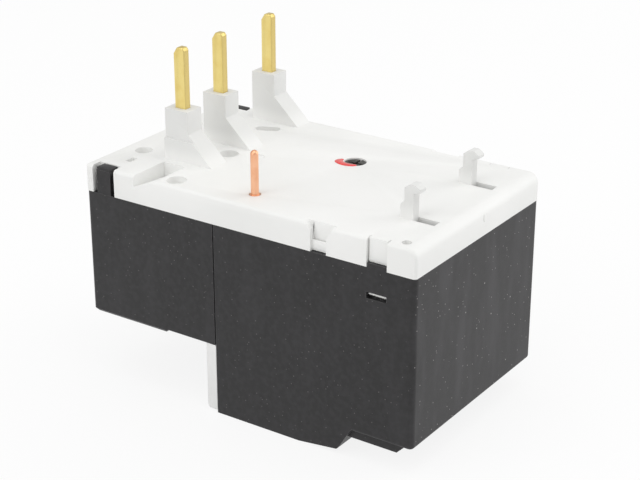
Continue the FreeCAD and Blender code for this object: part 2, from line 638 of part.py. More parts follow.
def make_front_cover():
    body = new_body("front_cover")
    cover_toe = [("0", COVER_LOW), ("toe_length", COVER_LOW),
                 ("toe_length + toe_step", f"{COVER_LOW} + toe_step"), ("seam", f"{COVER_LOW} + toe_step")]
    pad(body, "cover_block", "x", cover_toe + [("seam", RIM), ("0", RIM)], (f"-{SIDE}", SIDE))
    sides = [f"-{SIDE}", SIDE]
    soften(body, "Fillet", "cover_corners", "corner_round", [("z", {"x": sides, "y": ["0"]})])
    soften(body, "Chamfer", "cover_toe_edge", "edge_round", [("x", {"y": ["0"], "z": [COVER_LOW]})])
    toe_floor = f"({COVER_LOW} + shell)"
    pocket(body, "cover_hollow", "x",
           [("shell", toe_floor), ("toe_length", toe_floor), ("toe_length + toe_step", f"{toe_floor} + toe_step"),
            ("seam", f"{toe_floor} + toe_step"), ("seam", RIM), ("shell", RIM)], (f"-{INNER}", INNER))
    lip_out = f"({SIDE} - skirt_wall - fit_gap)"
    for side, reach in zip(("right", "left"), both_sides(f"{lip_out} - lip_wall", lip_out)):
        pad(body, f"cover_lip_{side}", "z", rectangle(reach, ("shell", "seam")),
            (f"{RIM} - lip_root", f"{RIM} + lip_rise"))
    pocket(body, "rivet_room", "z",
           rectangle((f"-{lip_out}", f"lip_wall - {lip_out}"),
                     (f"{BLADE_Y} - blade_deep", f"{BLADE_Y} + blade_deep")),
           (f"{BAR_LOW} - bar_thick - free_gap", f"{RIM} + lip_rise"))
    between_tabs = f"({SIDE} - corner_tab - fit_gap)"
    pad(body, "front_wall_top", "z", rectangle((f"-{between_tabs}", between_tabs), ("0", "skirt_wall - fit_gap")),
        (f"{RIM} - shell / 2", f"{TOP} - front_lip - fit_gap"))
    for side, reach in zip(("right", "left"), both_sides(f"{SIDE} - shell + fit_gap", f"{SIDE} - fit_gap")):
        pad(body, f"side_boss_{side}", "z",
            rectangle(reach, ("boss_start + boss_inset", "boss_end - boss_inset")),
            (f"{RIM} - shell / 2", f"{TOP} - boss_lip - fit_gap"))
    # openings of the front face
    bore(body, "dial_hole", "y", [("dial_x", "dial_z")], "dial_r + free_gap", ("0", "shell"))
    button_z = ("button_z - button_half - free_gap", "button_z + button_half + free_gap")
    pocket(body, "reset_hole", "y",
           rectangle(("reset_x - button_half - free_gap", "reset_x + button_half + free_gap"), button_z),
           ("0", "shell"))
    pocket(body, "test_hole", "y",
           rectangle(("test_x - test_half - free_gap", "test_x + test_half + free_gap"), button_z),
           ("0", "shell"))
    pocket(body, "flag_window", "y",
           rectangle(("flag_x - flag_half - free_gap", "flag_x + flag_half + free_gap"),
                     ("flag_z - flag_high - free_gap", "flag_z + flag_high + free_gap")), ("0", "shell"))
    places = [f"({k}) * small_pitch" for k in range(-2, 3)]
    bore(body, "small_driver_holes", "y", [(place, "small_level") for place in places], "small_driver_r",
         ("0", "shell"))
    entries = new_sketch(body, "entries_sketch", "z", toe_floor)
    for place in places:
        draw_outline(entries, rectangle((f"{place} - entry_half", f"{place} + entry_half"),
                                        ("entry_front", "entry_back")))
    wire_entries = body.newObject("PartDesign::Pocket", "wire_entries")
    wire_entries.Profile = entries
    bind(wire_entries, "Length", "shell")
    return sub_part(body, "front_cover")


def make_rear_housing():
    body = new_body("rear_housing")
    pad(body, "housing_block", "x",
        [("seam", "0"), ("sole_end", "0"), ("heel_end", "heel_rise"), ("slope_end", "rear_lift"),
         ("depth", "rear_lift"), ("depth", RIM), ("seam", RIM)], (f"-{SIDE}", SIDE))
    sides = [f"-{SIDE}", SIDE]
    soften(body, "Fillet", "housing_corners", "corner_round", [("z", {"x": sides, "y": ["depth"]})])
    soften(body, "Fillet", "heel_edges", "edge_round",
           [("x", {"y": ["heel_end"], "z": ["heel_rise"]}), ("x", {"y": ["depth"], "z": ["rear_lift"]})])
    heel_in = "heel_end - shell / 2"
    pocket(body, "housing_hollow", "x",
           [("seam", "shell"), ("sole_end", "shell"), (heel_in, "heel_rise + shell"),
            ("slope_end - shell / 2", "rear_lift + shell"), ("depth - shell", "rear_lift + shell"),
            ("depth - shell", RIM), ("seam", RIM)], (f"-{INNER}", INNER))
    for side, reach in zip(("right", "left"),
                           both_sides(f"{SIDE} - keel_inset - keel_wall", f"{SIDE} - keel_inset")):
        pad(body, f"keel_{side}", "x",
            [("slope_end - shell", "rear_lift - keel_drop"), ("keel_end - shell", "rear_lift - keel_drop"),
             ("keel_end", "rear_lift - keel_drop + shell"), ("keel_end", "rear_lift + shell / 2"),
             ("slope_end - shell", "rear_lift + shell / 2")], reach)
    # the walls between the poles also carry the trip slides
    for side, place in (("right", "pole_pitch / 2"), ("left", "-pole_pitch / 2")):
        pad(body, f"pole_wall_{side}", "x",
            [("tongue_front", "shell / 2"), ("sole_end", "shell / 2"), ("heel_end - shell / 2", "heel_rise + shell / 2"),
             ("slope_end", "rear_lift + shell / 2"), ("depth - shell / 2", "rear_lift + shell / 2"),
             ("depth - shell / 2", "pole_wall_top"), ("bar_end", "pole_wall_top"),
             ("bar_end", "bridge_low"), ("tongue_front", "bridge_low")],
            (f"{place} - pole_wall / 2", f"{place} + pole_wall / 2"))
    lip_out = f"({SIDE} - skirt_wall - fit_gap)"
    lip_span = (f"{RIM} - lip_root", f"{RIM} + lip_rise")
    for side, reach in zip(("right", "left"), both_sides(f"{lip_out} - lip_wall", lip_out)):
        pad(body, f"housing_lip_{side}", "z", rectangle(reach, ("seam", "depth - shell")), lip_span)
    pad(body, "housing_lip_rear", "z",
        rectangle((f"-{lip_out}", lip_out),
                  ("depth - skirt_wall - fit_gap - lip_wall", "depth - skirt_wall - fit_gap")), lip_span)
    lip_reach = both_sides(f"{lip_out} - lip_wall - fit_gap", f"{SIDE} - skirt_wall + fit_gap")
    # the snap tongue's room: inside the wall below the rim, out to the side face above it
    leaf_in = f"{INNER} - 2 * latch_wall"
    leaf_room = [(leaf_in, f"{RIM} - lip_root"), (INNER, f"{RIM} - lip_root"), (INNER, RIM), (SIDE, RIM),
                 (SIDE, f"{RIM} + lip_rise"), (leaf_in, f"{RIM} + lip_rise")]
    for side, reach, room in zip(("right", "left"), lip_reach, (leaf_room, mirrored(leaf_room))):
        pocket(body, f"lip_gap_notch_{side}", "z",
               rectangle(reach, ("notch_start - 2 * skirt_wall", "notch_end + 2 * skirt_wall")),
               (f"{TOP} - notch_drop - skirt_wall", f"{RIM} + lip_rise"))
        pocket(body, f"lip_gap_latch_{side}", "y", room, ("latch_start - free_gap", "latch_end + free_gap"))
    for side, reach in zip(("right", "left"), both_sides(INNER, SIDE)):
        pad(body, f"latch_sill_{side}", "z", rectangle(reach, ("latch_start + 4 * fit_gap", "latch_end - 4 * fit_gap")),
            (f"{RIM} - shell / 2", f"{TOP} - latch_head - fit_gap"))
        pocket(body, f"latch_window_{side}", "z", rectangle(reach, ("latch_start", "latch_end")),
               ("window_low", "window_high"))
    wires = new_sketch(body, "wires_sketch", "z", "shell")
    for place in POLES:
        draw_outline(wires, rectangle((f"{place} - wire_half", f"{place} + wire_half"),
                                      ("wire_front", "wire_back")))
    wire_entries = body.newObject("PartDesign::Pocket", "load_wire_entries")
    wire_entries.Profile = wires
    bind(wire_entries, "Length", "shell")
    return sub_part(body, "rear_housing")


def make_terminal_panel():
    body = new_body("terminal_panel")
    top = f"({COVER_LOW} + toe_step)"
    pad(body, "panel_plate", "y", rectangle((f"-{SIDE}", SIDE), ("panel_lift", f"{top} - fit_gap")),
        ("seam - panel", "seam - fit_gap"))
    soften(body, "Fillet", "panel_foot", "edge_round", [("x", {"y": ["seam - panel"], "z": ["panel_lift"]})])
    bore(body, "driver_holes", "y", [(place, "screw_level") for place in POLES], "driver_r",
         ("seam - panel", "seam - fit_gap"))
    return sub_part(body, "terminal_panel")


# ---- current path: blade, line bar, heater, bimetal strip, load bar ----

def make_blade(count, place):
    body = new_body(f"blade_{count}")
    reach = f"({TOWER_TOP} + blade_reach)"
    x_faces = (f"{place} - blade_thick / 2", f"{place} + blade_thick / 2")
    y_faces = (f"{BLADE_Y} - blade_deep / 2", f"{BLADE_Y} + blade_deep / 2")
    pad(body, f"blade_bar_{count}", "z", rectangle(x_faces, y_faces), (BAR_LOW, reach))
    soften(body, "Chamfer", f"blade_tip_y_{count}", "blade_tip", [("x", {"y": y_faces, "z": [reach]})])
    soften(body, "Chamfer", f"blade_tip_x_{count}", "blade_thick / 4", [("y", {"x": x_faces, "z": [reach]})])
    pad(body, f"blade_rivet_{count}", "z",
        rectangle((f"{x_faces[0]} - blade_thick / 4", f"{x_faces[1]} + blade_thick / 4"),
                  (f"{y_faces[0]} - blade_thick / 4", f"{y_faces[1]} + blade_thick / 4")),
        (f"{BAR_LOW} - bar_thick", BAR_LOW))
    return sub_part(body, f"blade_{count}")


def make_line_bar(count, blade, pole):
    body = new_body(f"line_bar_{count}")
    pad(body, f"line_strip_{count}", "z",
        [(f"{blade} - bar_half_narrow", "tower_front"), (f"{blade} + bar_half_narrow", "tower_front"),
         (f"{blade} + bar_half_narrow", "ramp_end"), (f"{pole} + bar_half", "rear_wall_front"),
         (f"{pole} + bar_half", "bar_end"), (f"{pole} - bar_half", "bar_end"),
         (f"{pole} - bar_half", "rear_wall_front"), (f"{blade} - bar_half_narrow", "ramp_end")],
        (BAR_LOW, UNDER))
    pad(body, f"line_leg_{count}", "z",
        rectangle((f"{pole} - bar_half", f"{pole} + bar_half"), ("bar_end - bar_thick", "bar_end")),
        ("bar_drop", BAR_LOW))
    pocket(body, f"line_slot_{count}", "z",
           rectangle((f"{blade} - blade_thick / 2", f"{blade} + blade_thick / 2"),
                     (f"{BLADE_Y} - blade_deep / 2", f"{BLADE_Y} + blade_deep / 2")), (BAR_LOW, UNDER))
    return sub_part(body, f"line_bar_{count}")


def make_bimetal(count, pole):
    strip = block(f"bimetal_{count}", (f"{pole} - strip_thick / 2", f"{pole} + strip_thick / 2"),
                  ("strip_front", "strip_back"), ("strip_foot", "strip_top"))
    return sub_part(strip, f"bimetal_{count}")


def make_sleeve(count, pole):
    z = ("sleeve_low", "sleeve_high")
    half = "(strip_thick / 2 + fit_gap)"
    outer = block(f"sleeve_outer_{count}", (f"{pole} - {half} - sleeve_wall", f"{pole} + {half} + sleeve_wall"),
                  ("strip_front - fit_gap - sleeve_wall", "strip_back + fit_gap + sleeve_wall"), z)
    inner = block(f"sleeve_inner_{count}", (f"{pole} - {half}", f"{pole} + {half}"),
                  ("strip_front - fit_gap", "strip_back + fit_gap"), z)
    return sub_part(cut_away(f"sleeve_{count}", outer, [inner]), f"insulating_sleeve_{count}")


def make_heater(count, pole):
    """Ribbon wound round the sleeve: level at the rear and on one side, rising on the other."""
    half_x = number("strip_thick / 2 + fit_gap + sleeve_wall + ribbon_thick / 2 + fit_gap")
    front = number("strip_front - 2 * fit_gap - sleeve_wall - ribbon_thick / 2")
    back = number("strip_back + 2 * fit_gap + sleeve_wall + ribbon_thick / 2")
    middle, pitch, turns = number(pole), number("ribbon_pitch"), int(number("ribbon_turns"))
    low = number("sleeve_low + ribbon_wide")
    leg_z = low + pitch * turns
    lead_y = number("strip_back - ribbon_wide")
    spots = [Vector(middle + half_x, lead_y, number("foot_low + load_thick")), Vector(middle + half_x, lead_y, low)]
    for turn in range(turns):
        level = low + pitch * turn
        spots += [Vector(middle + half_x, front, level), Vector(middle - half_x, front, level + pitch / 2),
                  Vector(middle - half_x, back, level + pitch / 2), Vector(middle + half_x, back, level + pitch)]
    spots.append(Vector(middle + half_x, front, leg_z))
    leads = []
    thick, wide = number("ribbon_thick"), number("ribbon_wide")
    for start, end in zip(spots[:-1], spots[1:]):
        run = end - start
        flat = Vector(run.x, run.y, 0)
        upright = flat.Length < 1e-6
        across = Vector(0, 1, 0) if upright else Vector(-flat.y, flat.x, 0).normalize()
        rise = Vector(1, 0, 0) * thick if upright else Vector(0, 0, wide)
        side = across * (wide if upright else thick)
        corner = start - side / 2 - rise / 2
        if not upright:
            # each stretch passes the corner by half the ribbon's thickness
            extra = flat.normalize() * (thick / 2)
            corner, run = corner - extra, run + extra * 2
        face = Part.Face(Part.makePolygon([corner, corner + side, corner + side + rise, corner + rise, corner]))
        leads.append(face.extrude(run))
    # the upper lead runs to the line bar's leg
    leg_back = number("bar_end")
    lead = Part.makeBox(thick, spots[-1].y + thick / 2 - leg_back, wide,
                        Vector(spots[-1].x - thick / 2, leg_back, leg_z - wide / 2))
    tab = Part.makeBox(thick, thick, number("bar_drop") + wide - leg_z + wide / 2,
                       Vector(spots[-1].x - thick / 2, leg_back, leg_z - wide / 2))
    feature = doc.addObject("Part::Feature", f"heater_{count}")
    feature.Shape = leads[0].multiFuse(leads[1:] + [lead, tab]).removeSplitter()
    return sub_part(feature, f"heater_{count}")


def make_load_bar(count, pole):
    body = new_body(f"load_bar_{count}")
    across = (f"{pole} - load_half", f"{pole} + load_half")
    pad(body, f"load_strip_{count}", "x",
        [("tongue_front", "clamp_low"), ("tongue_front + load_thick", "clamp_low"),
         ("tongue_front + load_thick", "bridge_low"), ("leg_front", "bridge_low"),
         ("leg_front", "foot_low"), ("foot_end", "foot_low"), ("foot_end", "foot_low + load_thick"),
         ("leg_front + load_thick", "foot_low + load_thick"),
         ("leg_front + load_thick", "bridge_low + load_thick"), ("tongue_front", "bridge_low + load_thick")],
        across)
    return sub_part(body, f"load_bar_{count}")


def make_strip_holder(count, pole):
    """Steel angle that stands the strip on the load bar."""
    face = f"({pole} - strip_thick / 2)"
    top = "(foot_low + load_thick)"
    upright = block(f"holder_upright_{count}", (f"{face} - strip_thick", face), ("strip_front + strip_thick", "strip_back - strip_thick"),
                    (top, f"{top} + 4 * strip_thick"))
    foot = block(f"holder_foot_{count}", (f"{face} - 2 * strip_thick", face),
                 ("strip_front + strip_thick", "strip_back - strip_thick"), (top, f"{top} + strip_thick"))
    return sub_part(joined(f"holder_{count}", [upright, foot]), f"strip_holder_{count}")


def make_load_clamps():
    cages = []
    for count, pole in enumerate(POLES, start=1):
        z = ("clamp_low", "clamp_high")
        outer = block(f"cage_outer_{count}", (f"{pole} - clamp_half", f"{pole} + clamp_half"),
                      ("clamp_front", "clamp_back"), z)
        inner = block(f"cage_inner_{count}",
                      (f"{pole} - clamp_half + clamp_wall", f"{pole} + clamp_half - clamp_wall"),
                      ("clamp_front + clamp_wall", "clamp_back - clamp_wall"), z)
        thread = rod(f"cage_thread_{count}", "y", (pole, "screw_level"), "screw_r + run_gap",
                     ("clamp_front", "clamp_front + clamp_wall"))
        cages.append(cut_away(f"cage_{count}", outer, [inner, thread]))
    return sub_part(grouped("cages", cages), "load_clamps")


def slotted_screw(name, x, z, head_r, head, shank_r, front, back):
    """A cheese-head screw along Y."""
    head_disc = rod(f"{name}_head", "y", (x, z), head_r, (front, f"{front} + {head}"))
    shank = rod(f"{name}_shank", "y", (x, z), shank_r, (f"{front} + {head}", back))
    slot = block(f"{name}_slot", (f"{x} - {head_r}", f"{x} + {head_r}"), (front, f"{front} + {head} / 2"),
                 (f"{z} - {head} / 5", f"{z} + {head} / 5"))
    return cut_away(name, joined(f"{name}_solid", [head_disc, shank]), [slot])


def make_load_screws():
    screws = [slotted_screw(f"load_screw_{count}", pole, "screw_level", "screw_head_r", "screw_head", "screw_r",
                            "seam", "tongue_front")
              for count, pole in enumerate(POLES, start=1)]
    return sub_part(grouped("load_screw_group", screws), "load_screws")


# ---- small terminals and their contacts ----

SMALL_NAMES = ["open_contact_in", "open_contact_out", "closed_contact_in", "closed_contact_out"]


def make_fixed_contact(name, position, front, tip_span):
    """A bent bar from the small terminal up to a fixed contact with its silver tip."""
    place = f"(({position}) * small_pitch)"
    body = new_body(name)
    across = (f"{place} - contact_half", f"{place} + contact_half")
    ceiling = "(floor_low - contact_bar)"
    pad(body, f"{name}_bar", "x",
        [("contact_front", "contact_low"), ("contact_front + contact_bar", "contact_low"),
         ("contact_front + contact_bar", ceiling), (f"{front} + contact_bar", ceiling),
         (f"{front} + contact_bar", "contact_top"), (front, "contact_top"), (front, "floor_low"),
         ("contact_front", "floor_low")], across)
    pad(body, f"{name}_foot", "y",
        rectangle((f"{place} - contact_foot", f"{place} + contact_foot"), ("contact_low", f"{ceiling} - contact_bar")),
        ("contact_front", "contact_front + contact_bar"))
    bore(body, f"{name}_thread", "y", [(place, "small_level")], "small_screw_r + run_gap",
         ("contact_front", "contact_front + contact_bar"))
    post(body, f"{name}_tip", "y", [(place, "contact_level")], "tip_r", tip_span)
    return sub_part(body, name)


def make_fixed_contacts():
    open_back = "open_front + contact_bar"
    for name, position in zip(SMALL_NAMES[:2], (-2, -1)):
        make_fixed_contact(name, position, "open_front", (open_back, f"{open_back} + tip_thick"))
    for name, position in zip(SMALL_NAMES[2:], (0, 1)):
        make_fixed_contact(name, position, "closed_front", ("closed_front - tip_thick", "closed_front"))


def make_link_bar():
    """Bar from the fifth small terminal back to the copper pin."""
    body = new_body("link_bar")
    place = "(2 * small_pitch)"
    ceiling = "(floor_low - contact_bar)"
    leg_back = "(link_y - link_shank_r)"
    pad(body, "link_strip", "x",
        [("contact_front", "contact_low"), ("contact_front + contact_bar", "contact_low"),
         ("contact_front + contact_bar", ceiling), (leg_back, ceiling),
         (leg_back, "link_foot + ferrule_long"), (f"{leg_back} - contact_bar", "link_foot + ferrule_long"),
         (f"{leg_back} - contact_bar", "floor_low"), ("contact_front", "floor_low")],
        (f"{place} - contact_half", f"{place} + contact_half"))
    pad(body, "link_strip_foot", "y",
        rectangle((f"{place} - contact_foot", f"{place} + contact_foot"), ("contact_low", f"{ceiling} - contact_bar")),
        ("contact_front", "contact_front + contact_bar"))
    bore(body, "link_strip_thread", "y", [(place, "small_level")], "small_screw_r + run_gap",
         ("contact_front", "contact_front + contact_bar"))
    post(body, "ferrule", "z", [("link_x", "link_y")], "ferrule_r", ("link_foot", "link_foot + ferrule_long"))
    bore(body, "ferrule_bore", "z", [("link_x", "link_y")], "link_shank_r",
         ("link_foot", "link_foot + ferrule_long"))
    return sub_part(body, "link_bar")


def make_small_screws():
    screws = []
    for count in range(5):
        screws.append(slotted_screw(f"small_screw_{count}", f"(({count - 2}) * small_pitch)", "small_level",
                                    "small_head_r", "small_head", "small_screw_r", "small_head_front",
                                    "contact_front + 2 * contact_bar"))
    return sub_part(grouped("small_screw_group", screws), "small_screws")


def make_saddles():
    saddles = []
    for count in range(5):
        place = f"(({count - 2}) * small_pitch)"
        y = ("saddle_front", "saddle_front + saddle")
        plate = block(f"saddle_plate_{count}", (f"{place} - saddle_half", f"{place} + saddle_half"), y,
                      ("small_level - saddle_half", "small_level + saddle_half"))
        hole = rod(f"saddle_hole_{count}", "y", (place, "small_level"), "small_screw_r + 3 * run_gap", y)
        saddles.append(cut_away(f"saddle_{count}", plate, [hole]))
    return sub_part(grouped("saddle_group", saddles), "clamp_saddles")


# ---- inner moulding that carries the mechanism ----

def make_mechanism_base():
    body = new_body("mechanism_base")
    inside = f"({INNER} - fit_gap)"
    wall_inside = f"({SIDE} - skirt_wall - 2 * fit_gap - lip_wall)"
    pad(body, "inner_floor", "z", rectangle((f"-{inside}", inside), ("shell + fit_gap", REAR_WALL_BACK)),
        ("floor_low", FLOOR_TOP))
    pad(body, "inner_rear_wall", "y",
        rectangle((f"-{wall_inside}", wall_inside), (f"{COVER_LOW} + toe_step + shell + fit_gap", "rear_wall_top")),
        ("rear_wall_front", REAR_WALL_BACK))
    pad(body, "guide", "y",
        rectangle(("test_x - button_half", "reset_x + button_half + flange_out"), ("floor_low + floor / 2", "guide_top")),
        ("guide_front", "guide_front + guide_wall"))
    pad(body, "bearing", "y",
        rectangle(("dial_x - shaft_r - floor / 2", "dial_x + shaft_r + floor"),
                  ("floor_low + floor / 2", "dial_z + shaft_r + floor")),
        ("bearing_front", "bearing_front + bearing_long"))
    for count in range(4):
        middle = f"(({count} - 1.5) * small_pitch)"
        pad(body, f"small_partition_{count}", "x",
            rectangle(("shell + fit_gap", "contact_front + 2 * contact_bar"),
                      (f"{COVER_LOW} + shell + fit_gap", "floor_low + floor / 2")),
            (f"{middle} - floor / 2", f"{middle} + floor / 2"))
    for side, start in (("left", "carrier_left - free_gap - floor"), ("right", "carrier_right + free_gap")):
        pad(body, f"carrier_rail_{side}", "y",
            rectangle((start, f"{start} + floor"), ("floor_low + floor / 2", "carrier_low + 2 * floor")),
            ("carrier_front", "rear_wall_front"))
    # slots for the levers and for the bars that pass through
    pocket(body, "trip_slot", "y",
           rectangle(("pivot_x - 6", "pivot_x + 2"), ("arm_low - 2 * free_gap", "rear_wall_top")),
           ("rear_wall_front", REAR_WALL_BACK))
    pocket(body, "setting_slot", "y",
           rectangle(("setting_x - 3", "setting_x + 5"), ("arm_low - 2 * free_gap", "rear_wall_top")),
           ("rear_wall_front", REAR_WALL_BACK))
    for count, (name, position) in enumerate(zip(SMALL_NAMES, (-2, -1, 0, 1))):
        front = "open_front" if count < 2 else "closed_front"
        place = f"(({position}) * small_pitch)"
        pocket(body, f"contact_slot_{count}", "z",
               rectangle((f"{place} - contact_half - fit_gap", f"{place} + contact_half + fit_gap"),
                         (f"{front} - fit_gap", f"{front} + contact_bar + fit_gap")),
               ("floor_low", FLOOR_TOP))
    pocket(body, "link_slot", "y",
           rectangle(("2 * small_pitch - contact_half - fit_gap", "2 * small_pitch + contact_half + fit_gap"),
                     ("floor_low - contact_bar - fit_gap", "floor_low")),
           ("rear_wall_front", REAR_WALL_BACK))
    # guide holes for the stems and the flag, and the dial's bearing
    guide_span = ("guide_front", "guide_front + guide_wall")
    stem = "(stem_half + free_gap / 2)"
    pocket(body, "reset_guide", "y",
           rectangle((f"reset_x - {stem}", f"reset_x + {stem}"), (f"button_z - {stem}", f"button_z + {stem}")), guide_span)
    test = "(test_stem_half + free_gap / 2)"
    pocket(body, "test_guide", "y",
           rectangle((f"test_stem_x - {test}", f"test_stem_x + {test}"), (f"button_z - {test}", f"button_z + {test}")),
           guide_span)
    pocket(body, "flag_guide", "y",
           rectangle(("flag_x - flag_half - free_gap", "flag_x + flag_half + free_gap"),
                     ("flag_z - flag_high - free_gap", "flag_z + flag_high + free_gap")), guide_span)
    bore(body, "dial_bearing", "y", [("dial_x", "dial_z")], "shaft_r + run_gap",
         ("bearing_front", "bearing_front + bearing_long"))
    return sub_part(body, "mechanism_base")


# ---- trip mechanism ----

def make_slide(name, low, finger_side):
    """A comb across the three strips; its fingers stand on one side of every strip."""
    body = new_body(name)
    z = (low, f"{low} + slide_thick")
    pad(body, f"{name}_bar", "z", rectangle(("-slide_half", "slide_half"), ("slide_front", "slide_back")), z)
    gap = "(strip_thick / 2 + free_gap)"
    for count, pole in enumerate(POLES, start=1):
        reach = (f"{pole} + {gap}", f"{pole} + {gap} + finger")
        if finger_side < 0:
            reach = (f"{pole} - {gap} - finger", f"{pole} - {gap}")
        pad(body, f"{name}_finger_{count}", "z", rectangle(reach, ("slide_back - free_gap", "finger_end")), z)
    return body


def make_main_slide():
    body = make_slide("main_slide", "slide_low", 1)
    post(body, "main_link_pin", "z", [("link_place", "link_front")], "link_pin_r",
         ("slide_low + slide_thick", "link_low + slide_thick"))
    return sub_part(body, "main_slide")


def make_differential_slide():
    low = "(slide_low + slide_step)"
    body = make_slide("differential_slide", low, -1)
    z = (low, f"{low} + slide_thick")
    tab = ("link_place - 2 * link_half", "link_place + 2 * link_half")
    pad(body, "pin_window_frame", "z", rectangle(tab, ("slide_front - 2 * link_pin_r / 2", "slide_back + link_pin_r")), z)
    pocket(body, "pin_window", "z",
           rectangle(("link_place - link_pin_r - free_gap", "link_place + link_pin_r + 4 * free_gap"),
                     ("link_front - link_pin_r - run_gap", "link_front + link_pin_r + run_gap")), z)
    pad(body, "link_tab", "z",
        rectangle(("link_place - link_half", "link_place + link_half"), ("slide_back", "link_back + link_half")), z)
    post(body, "differential_link_pin", "z", [("link_place", "link_back")], "link_pin_r",
         (f"{low} + slide_thick", "link_low + slide_thick"))
    return sub_part(body, "differential_slide")


def make_differential_lever():
    body = new_body("differential_lever")
    z = ("link_low", "link_low + slide_thick")
    pad(body, "link_plate", "z",
        [("link_place - link_half", "link_front - link_half"), ("link_place + link_half", "link_front - link_half"),
         ("link_place + link_half + link_pin_r / 4", "link_front"),
         ("link_place + link_half", "link_front + link_half"),
         ("link_place + link_half", "link_back + link_half"), ("link_place - link_half", "link_back + link_half")], z)
    bore(body, "link_pivot_hole", "z", [("link_place", "link_front")], "link_pin_r + run_gap", z)
    pocket(body, "link_slot_hole", "z",
           rectangle(("link_place - link_pin_r - run_gap", "link_place + link_pin_r + run_gap"),
                     ("link_back - link_pin_r - free_gap", "link_back + link_pin_r + free_gap")), z)
    return sub_part(body, "differential_lever")


def make_trip_lever():
    body = new_body("trip_lever")
    post(body, "trip_hub", "z", [("pivot_x", "pivot_y")], "hub_r", ("hub_low", "hub_top"))
    arm_x = ("pivot_x - arm_half", "pivot_x + arm_half")
    pad(body, "front_arm", "z", rectangle(arm_x, ("catch_front", "pivot_y")), ("arm_low", "hub_top"))
    pad(body, "catch_finger", "z", rectangle(arm_x, ("catch_front", "catch_front + catch_long")),
        ("catch_low", "arm_low"))
    pad(body, "rear_arm", "z",
        rectangle(("pivot_x - 2 * arm_half", "pivot_x + arm_half"), ("pivot_y", "ambient_front + hub_r")),
        ("hub_low", "hub_top"))
    pad(body, "tail", "z",
        rectangle(("pivot_x", "stop_x + stop_r"), ("pivot_y - 2 * arm_half", "stop_y - stop_r - free_gap")),
        ("hub_low", "arm_low - free_gap"))
    bore(body, "trip_bore", "z", [("pivot_x", "pivot_y")], "pivot_r + run_gap", ("hub_low", "hub_top"))
    pocket(body, "ambient_slot", "z",
           rectangle(("pivot_x - arm_half + fit_gap", "pivot_x - arm_half + ambient_thick + 3 * fit_gap"),
                     ("ambient_front", "ambient_front + hub_r")), ("ambient_low - fit_gap", "hub_top"))
    return sub_part(body, "trip_lever")


def make_compensating_strip():
    left = "(pivot_x - arm_half + 2 * fit_gap)"
    strip = block("ambient_strip", (left, f"{left} + ambient_thick"), ("ambient_front + fit_gap", "ambient_back"),
                  ("ambient_low", "hub_top"))
    return sub_part(strip, "compensating_bimetal")


def make_calibration_screw():
    centre = ("pivot_x", "pivot_y")
    head = rod("calibration_head", "z", centre, "pivot_head_r", (f"{TOP} - pivot_head", TOP))
    stem = rod("calibration_stem", "z", centre, "pivot_r", ("pivot_low", f"{TOP} - pivot_head"))
    slot = block("calibration_slot", ("pivot_x - pivot_head_r", "pivot_x + pivot_head_r"),
                 ("pivot_y - fit_gap * 5", "pivot_y + fit_gap * 5"), (f"{TOP} - pivot_head / 2", TOP))
    solid = cut_away("calibration", joined("calibration_solid", [head, stem]), [slot])
    return sub_part(solid, "calibration_screw")


def make_sealing_lacquer():
    drop = doc.addObject("Part::Ellipsoid", "lacquer_drop")
    bind(drop, "Radius1", "lacquer_tall")
    bind(drop, "Radius2", "lacquer_r")
    drop.Placement.Base = Vector(1, 1, 1)
    bind(drop, "Placement.Base.x", "pivot_x + pivot_head_r / 2")
    bind(drop, "Placement.Base.y", "pivot_y - pivot_head_r")
    bind(drop, "Placement.Base.z", TOP)
    keep = block("lacquer_room", ("pivot_x - 3 * lacquer_r", "pivot_x + 3 * lacquer_r"),
                 ("pivot_y - 4 * lacquer_r", "pivot_y + 2 * lacquer_r"), (TOP, f"{TOP} + lacquer_r"))
    drop_top = doc.addObject("Part::Common", "lacquer")
    drop_top.Base = drop
    drop_top.Tool = keep
    return sub_part(drop_top, "sealing_lacquer")


def make_setting_lever():
    """Lever between the dial's cam and the stop of the trip lever."""
    body = new_body("setting_lever")
    z = ("arm_low", "setting_top")
    follower_x = "(dial_x - cam_low_r - free_gap - follower_r)"
    post(body, "setting_hub", "z", [("setting_x", "setting_y")], "setting_hub_r", z)
    pad(body, "follower_arm", "z",
        [(f"{follower_x} - follower_r", "follower_y"), (f"{follower_x} + follower_r", "follower_y"),
         ("setting_x + setting_hub_r / 2", "setting_y"), ("setting_x - setting_hub_r / 2", "setting_y")], z)
    pad(body, "stop_arm", "z",
        [("setting_x - setting_hub_r / 2", "setting_y - setting_hub_r / 2"),
         ("setting_x + setting_hub_r / 2", "setting_y + setting_hub_r / 2"),
         ("stop_x + stop_r / 2", "stop_y + stop_r"), ("stop_x - stop_r / 2", "stop_y - stop_r / 2")], z)
    post(body, "follower_head", "z", [(follower_x, "follower_y")], "follower_r", z)
    post(body, "stop_head", "z", [("stop_x", "stop_y")], "stop_r", z)
    post(body, "follower_finger", "z", [(follower_x, "follower_y")], "follower_r", ("dial_z - follower_r", "arm_low"))
    post(body, "stop_finger", "z", [("stop_x", "stop_y")], "stop_r", ("hub_low", "arm_low"))
    bore(body, "setting_bore", "z", [("setting_x", "setting_y")], "setting_pin_r + run_gap", z)
    return sub_part(body, "setting_lever")


def make_setting_pin():
    pin = rod("setting_pin_rod", "z", ("setting_x", "setting_y"), "setting_pin_r",
              ("arm_low - 3 * free_gap", f"{UNDER} + plate / 2"))
    return sub_part(pin, "setting_pivot_pin")


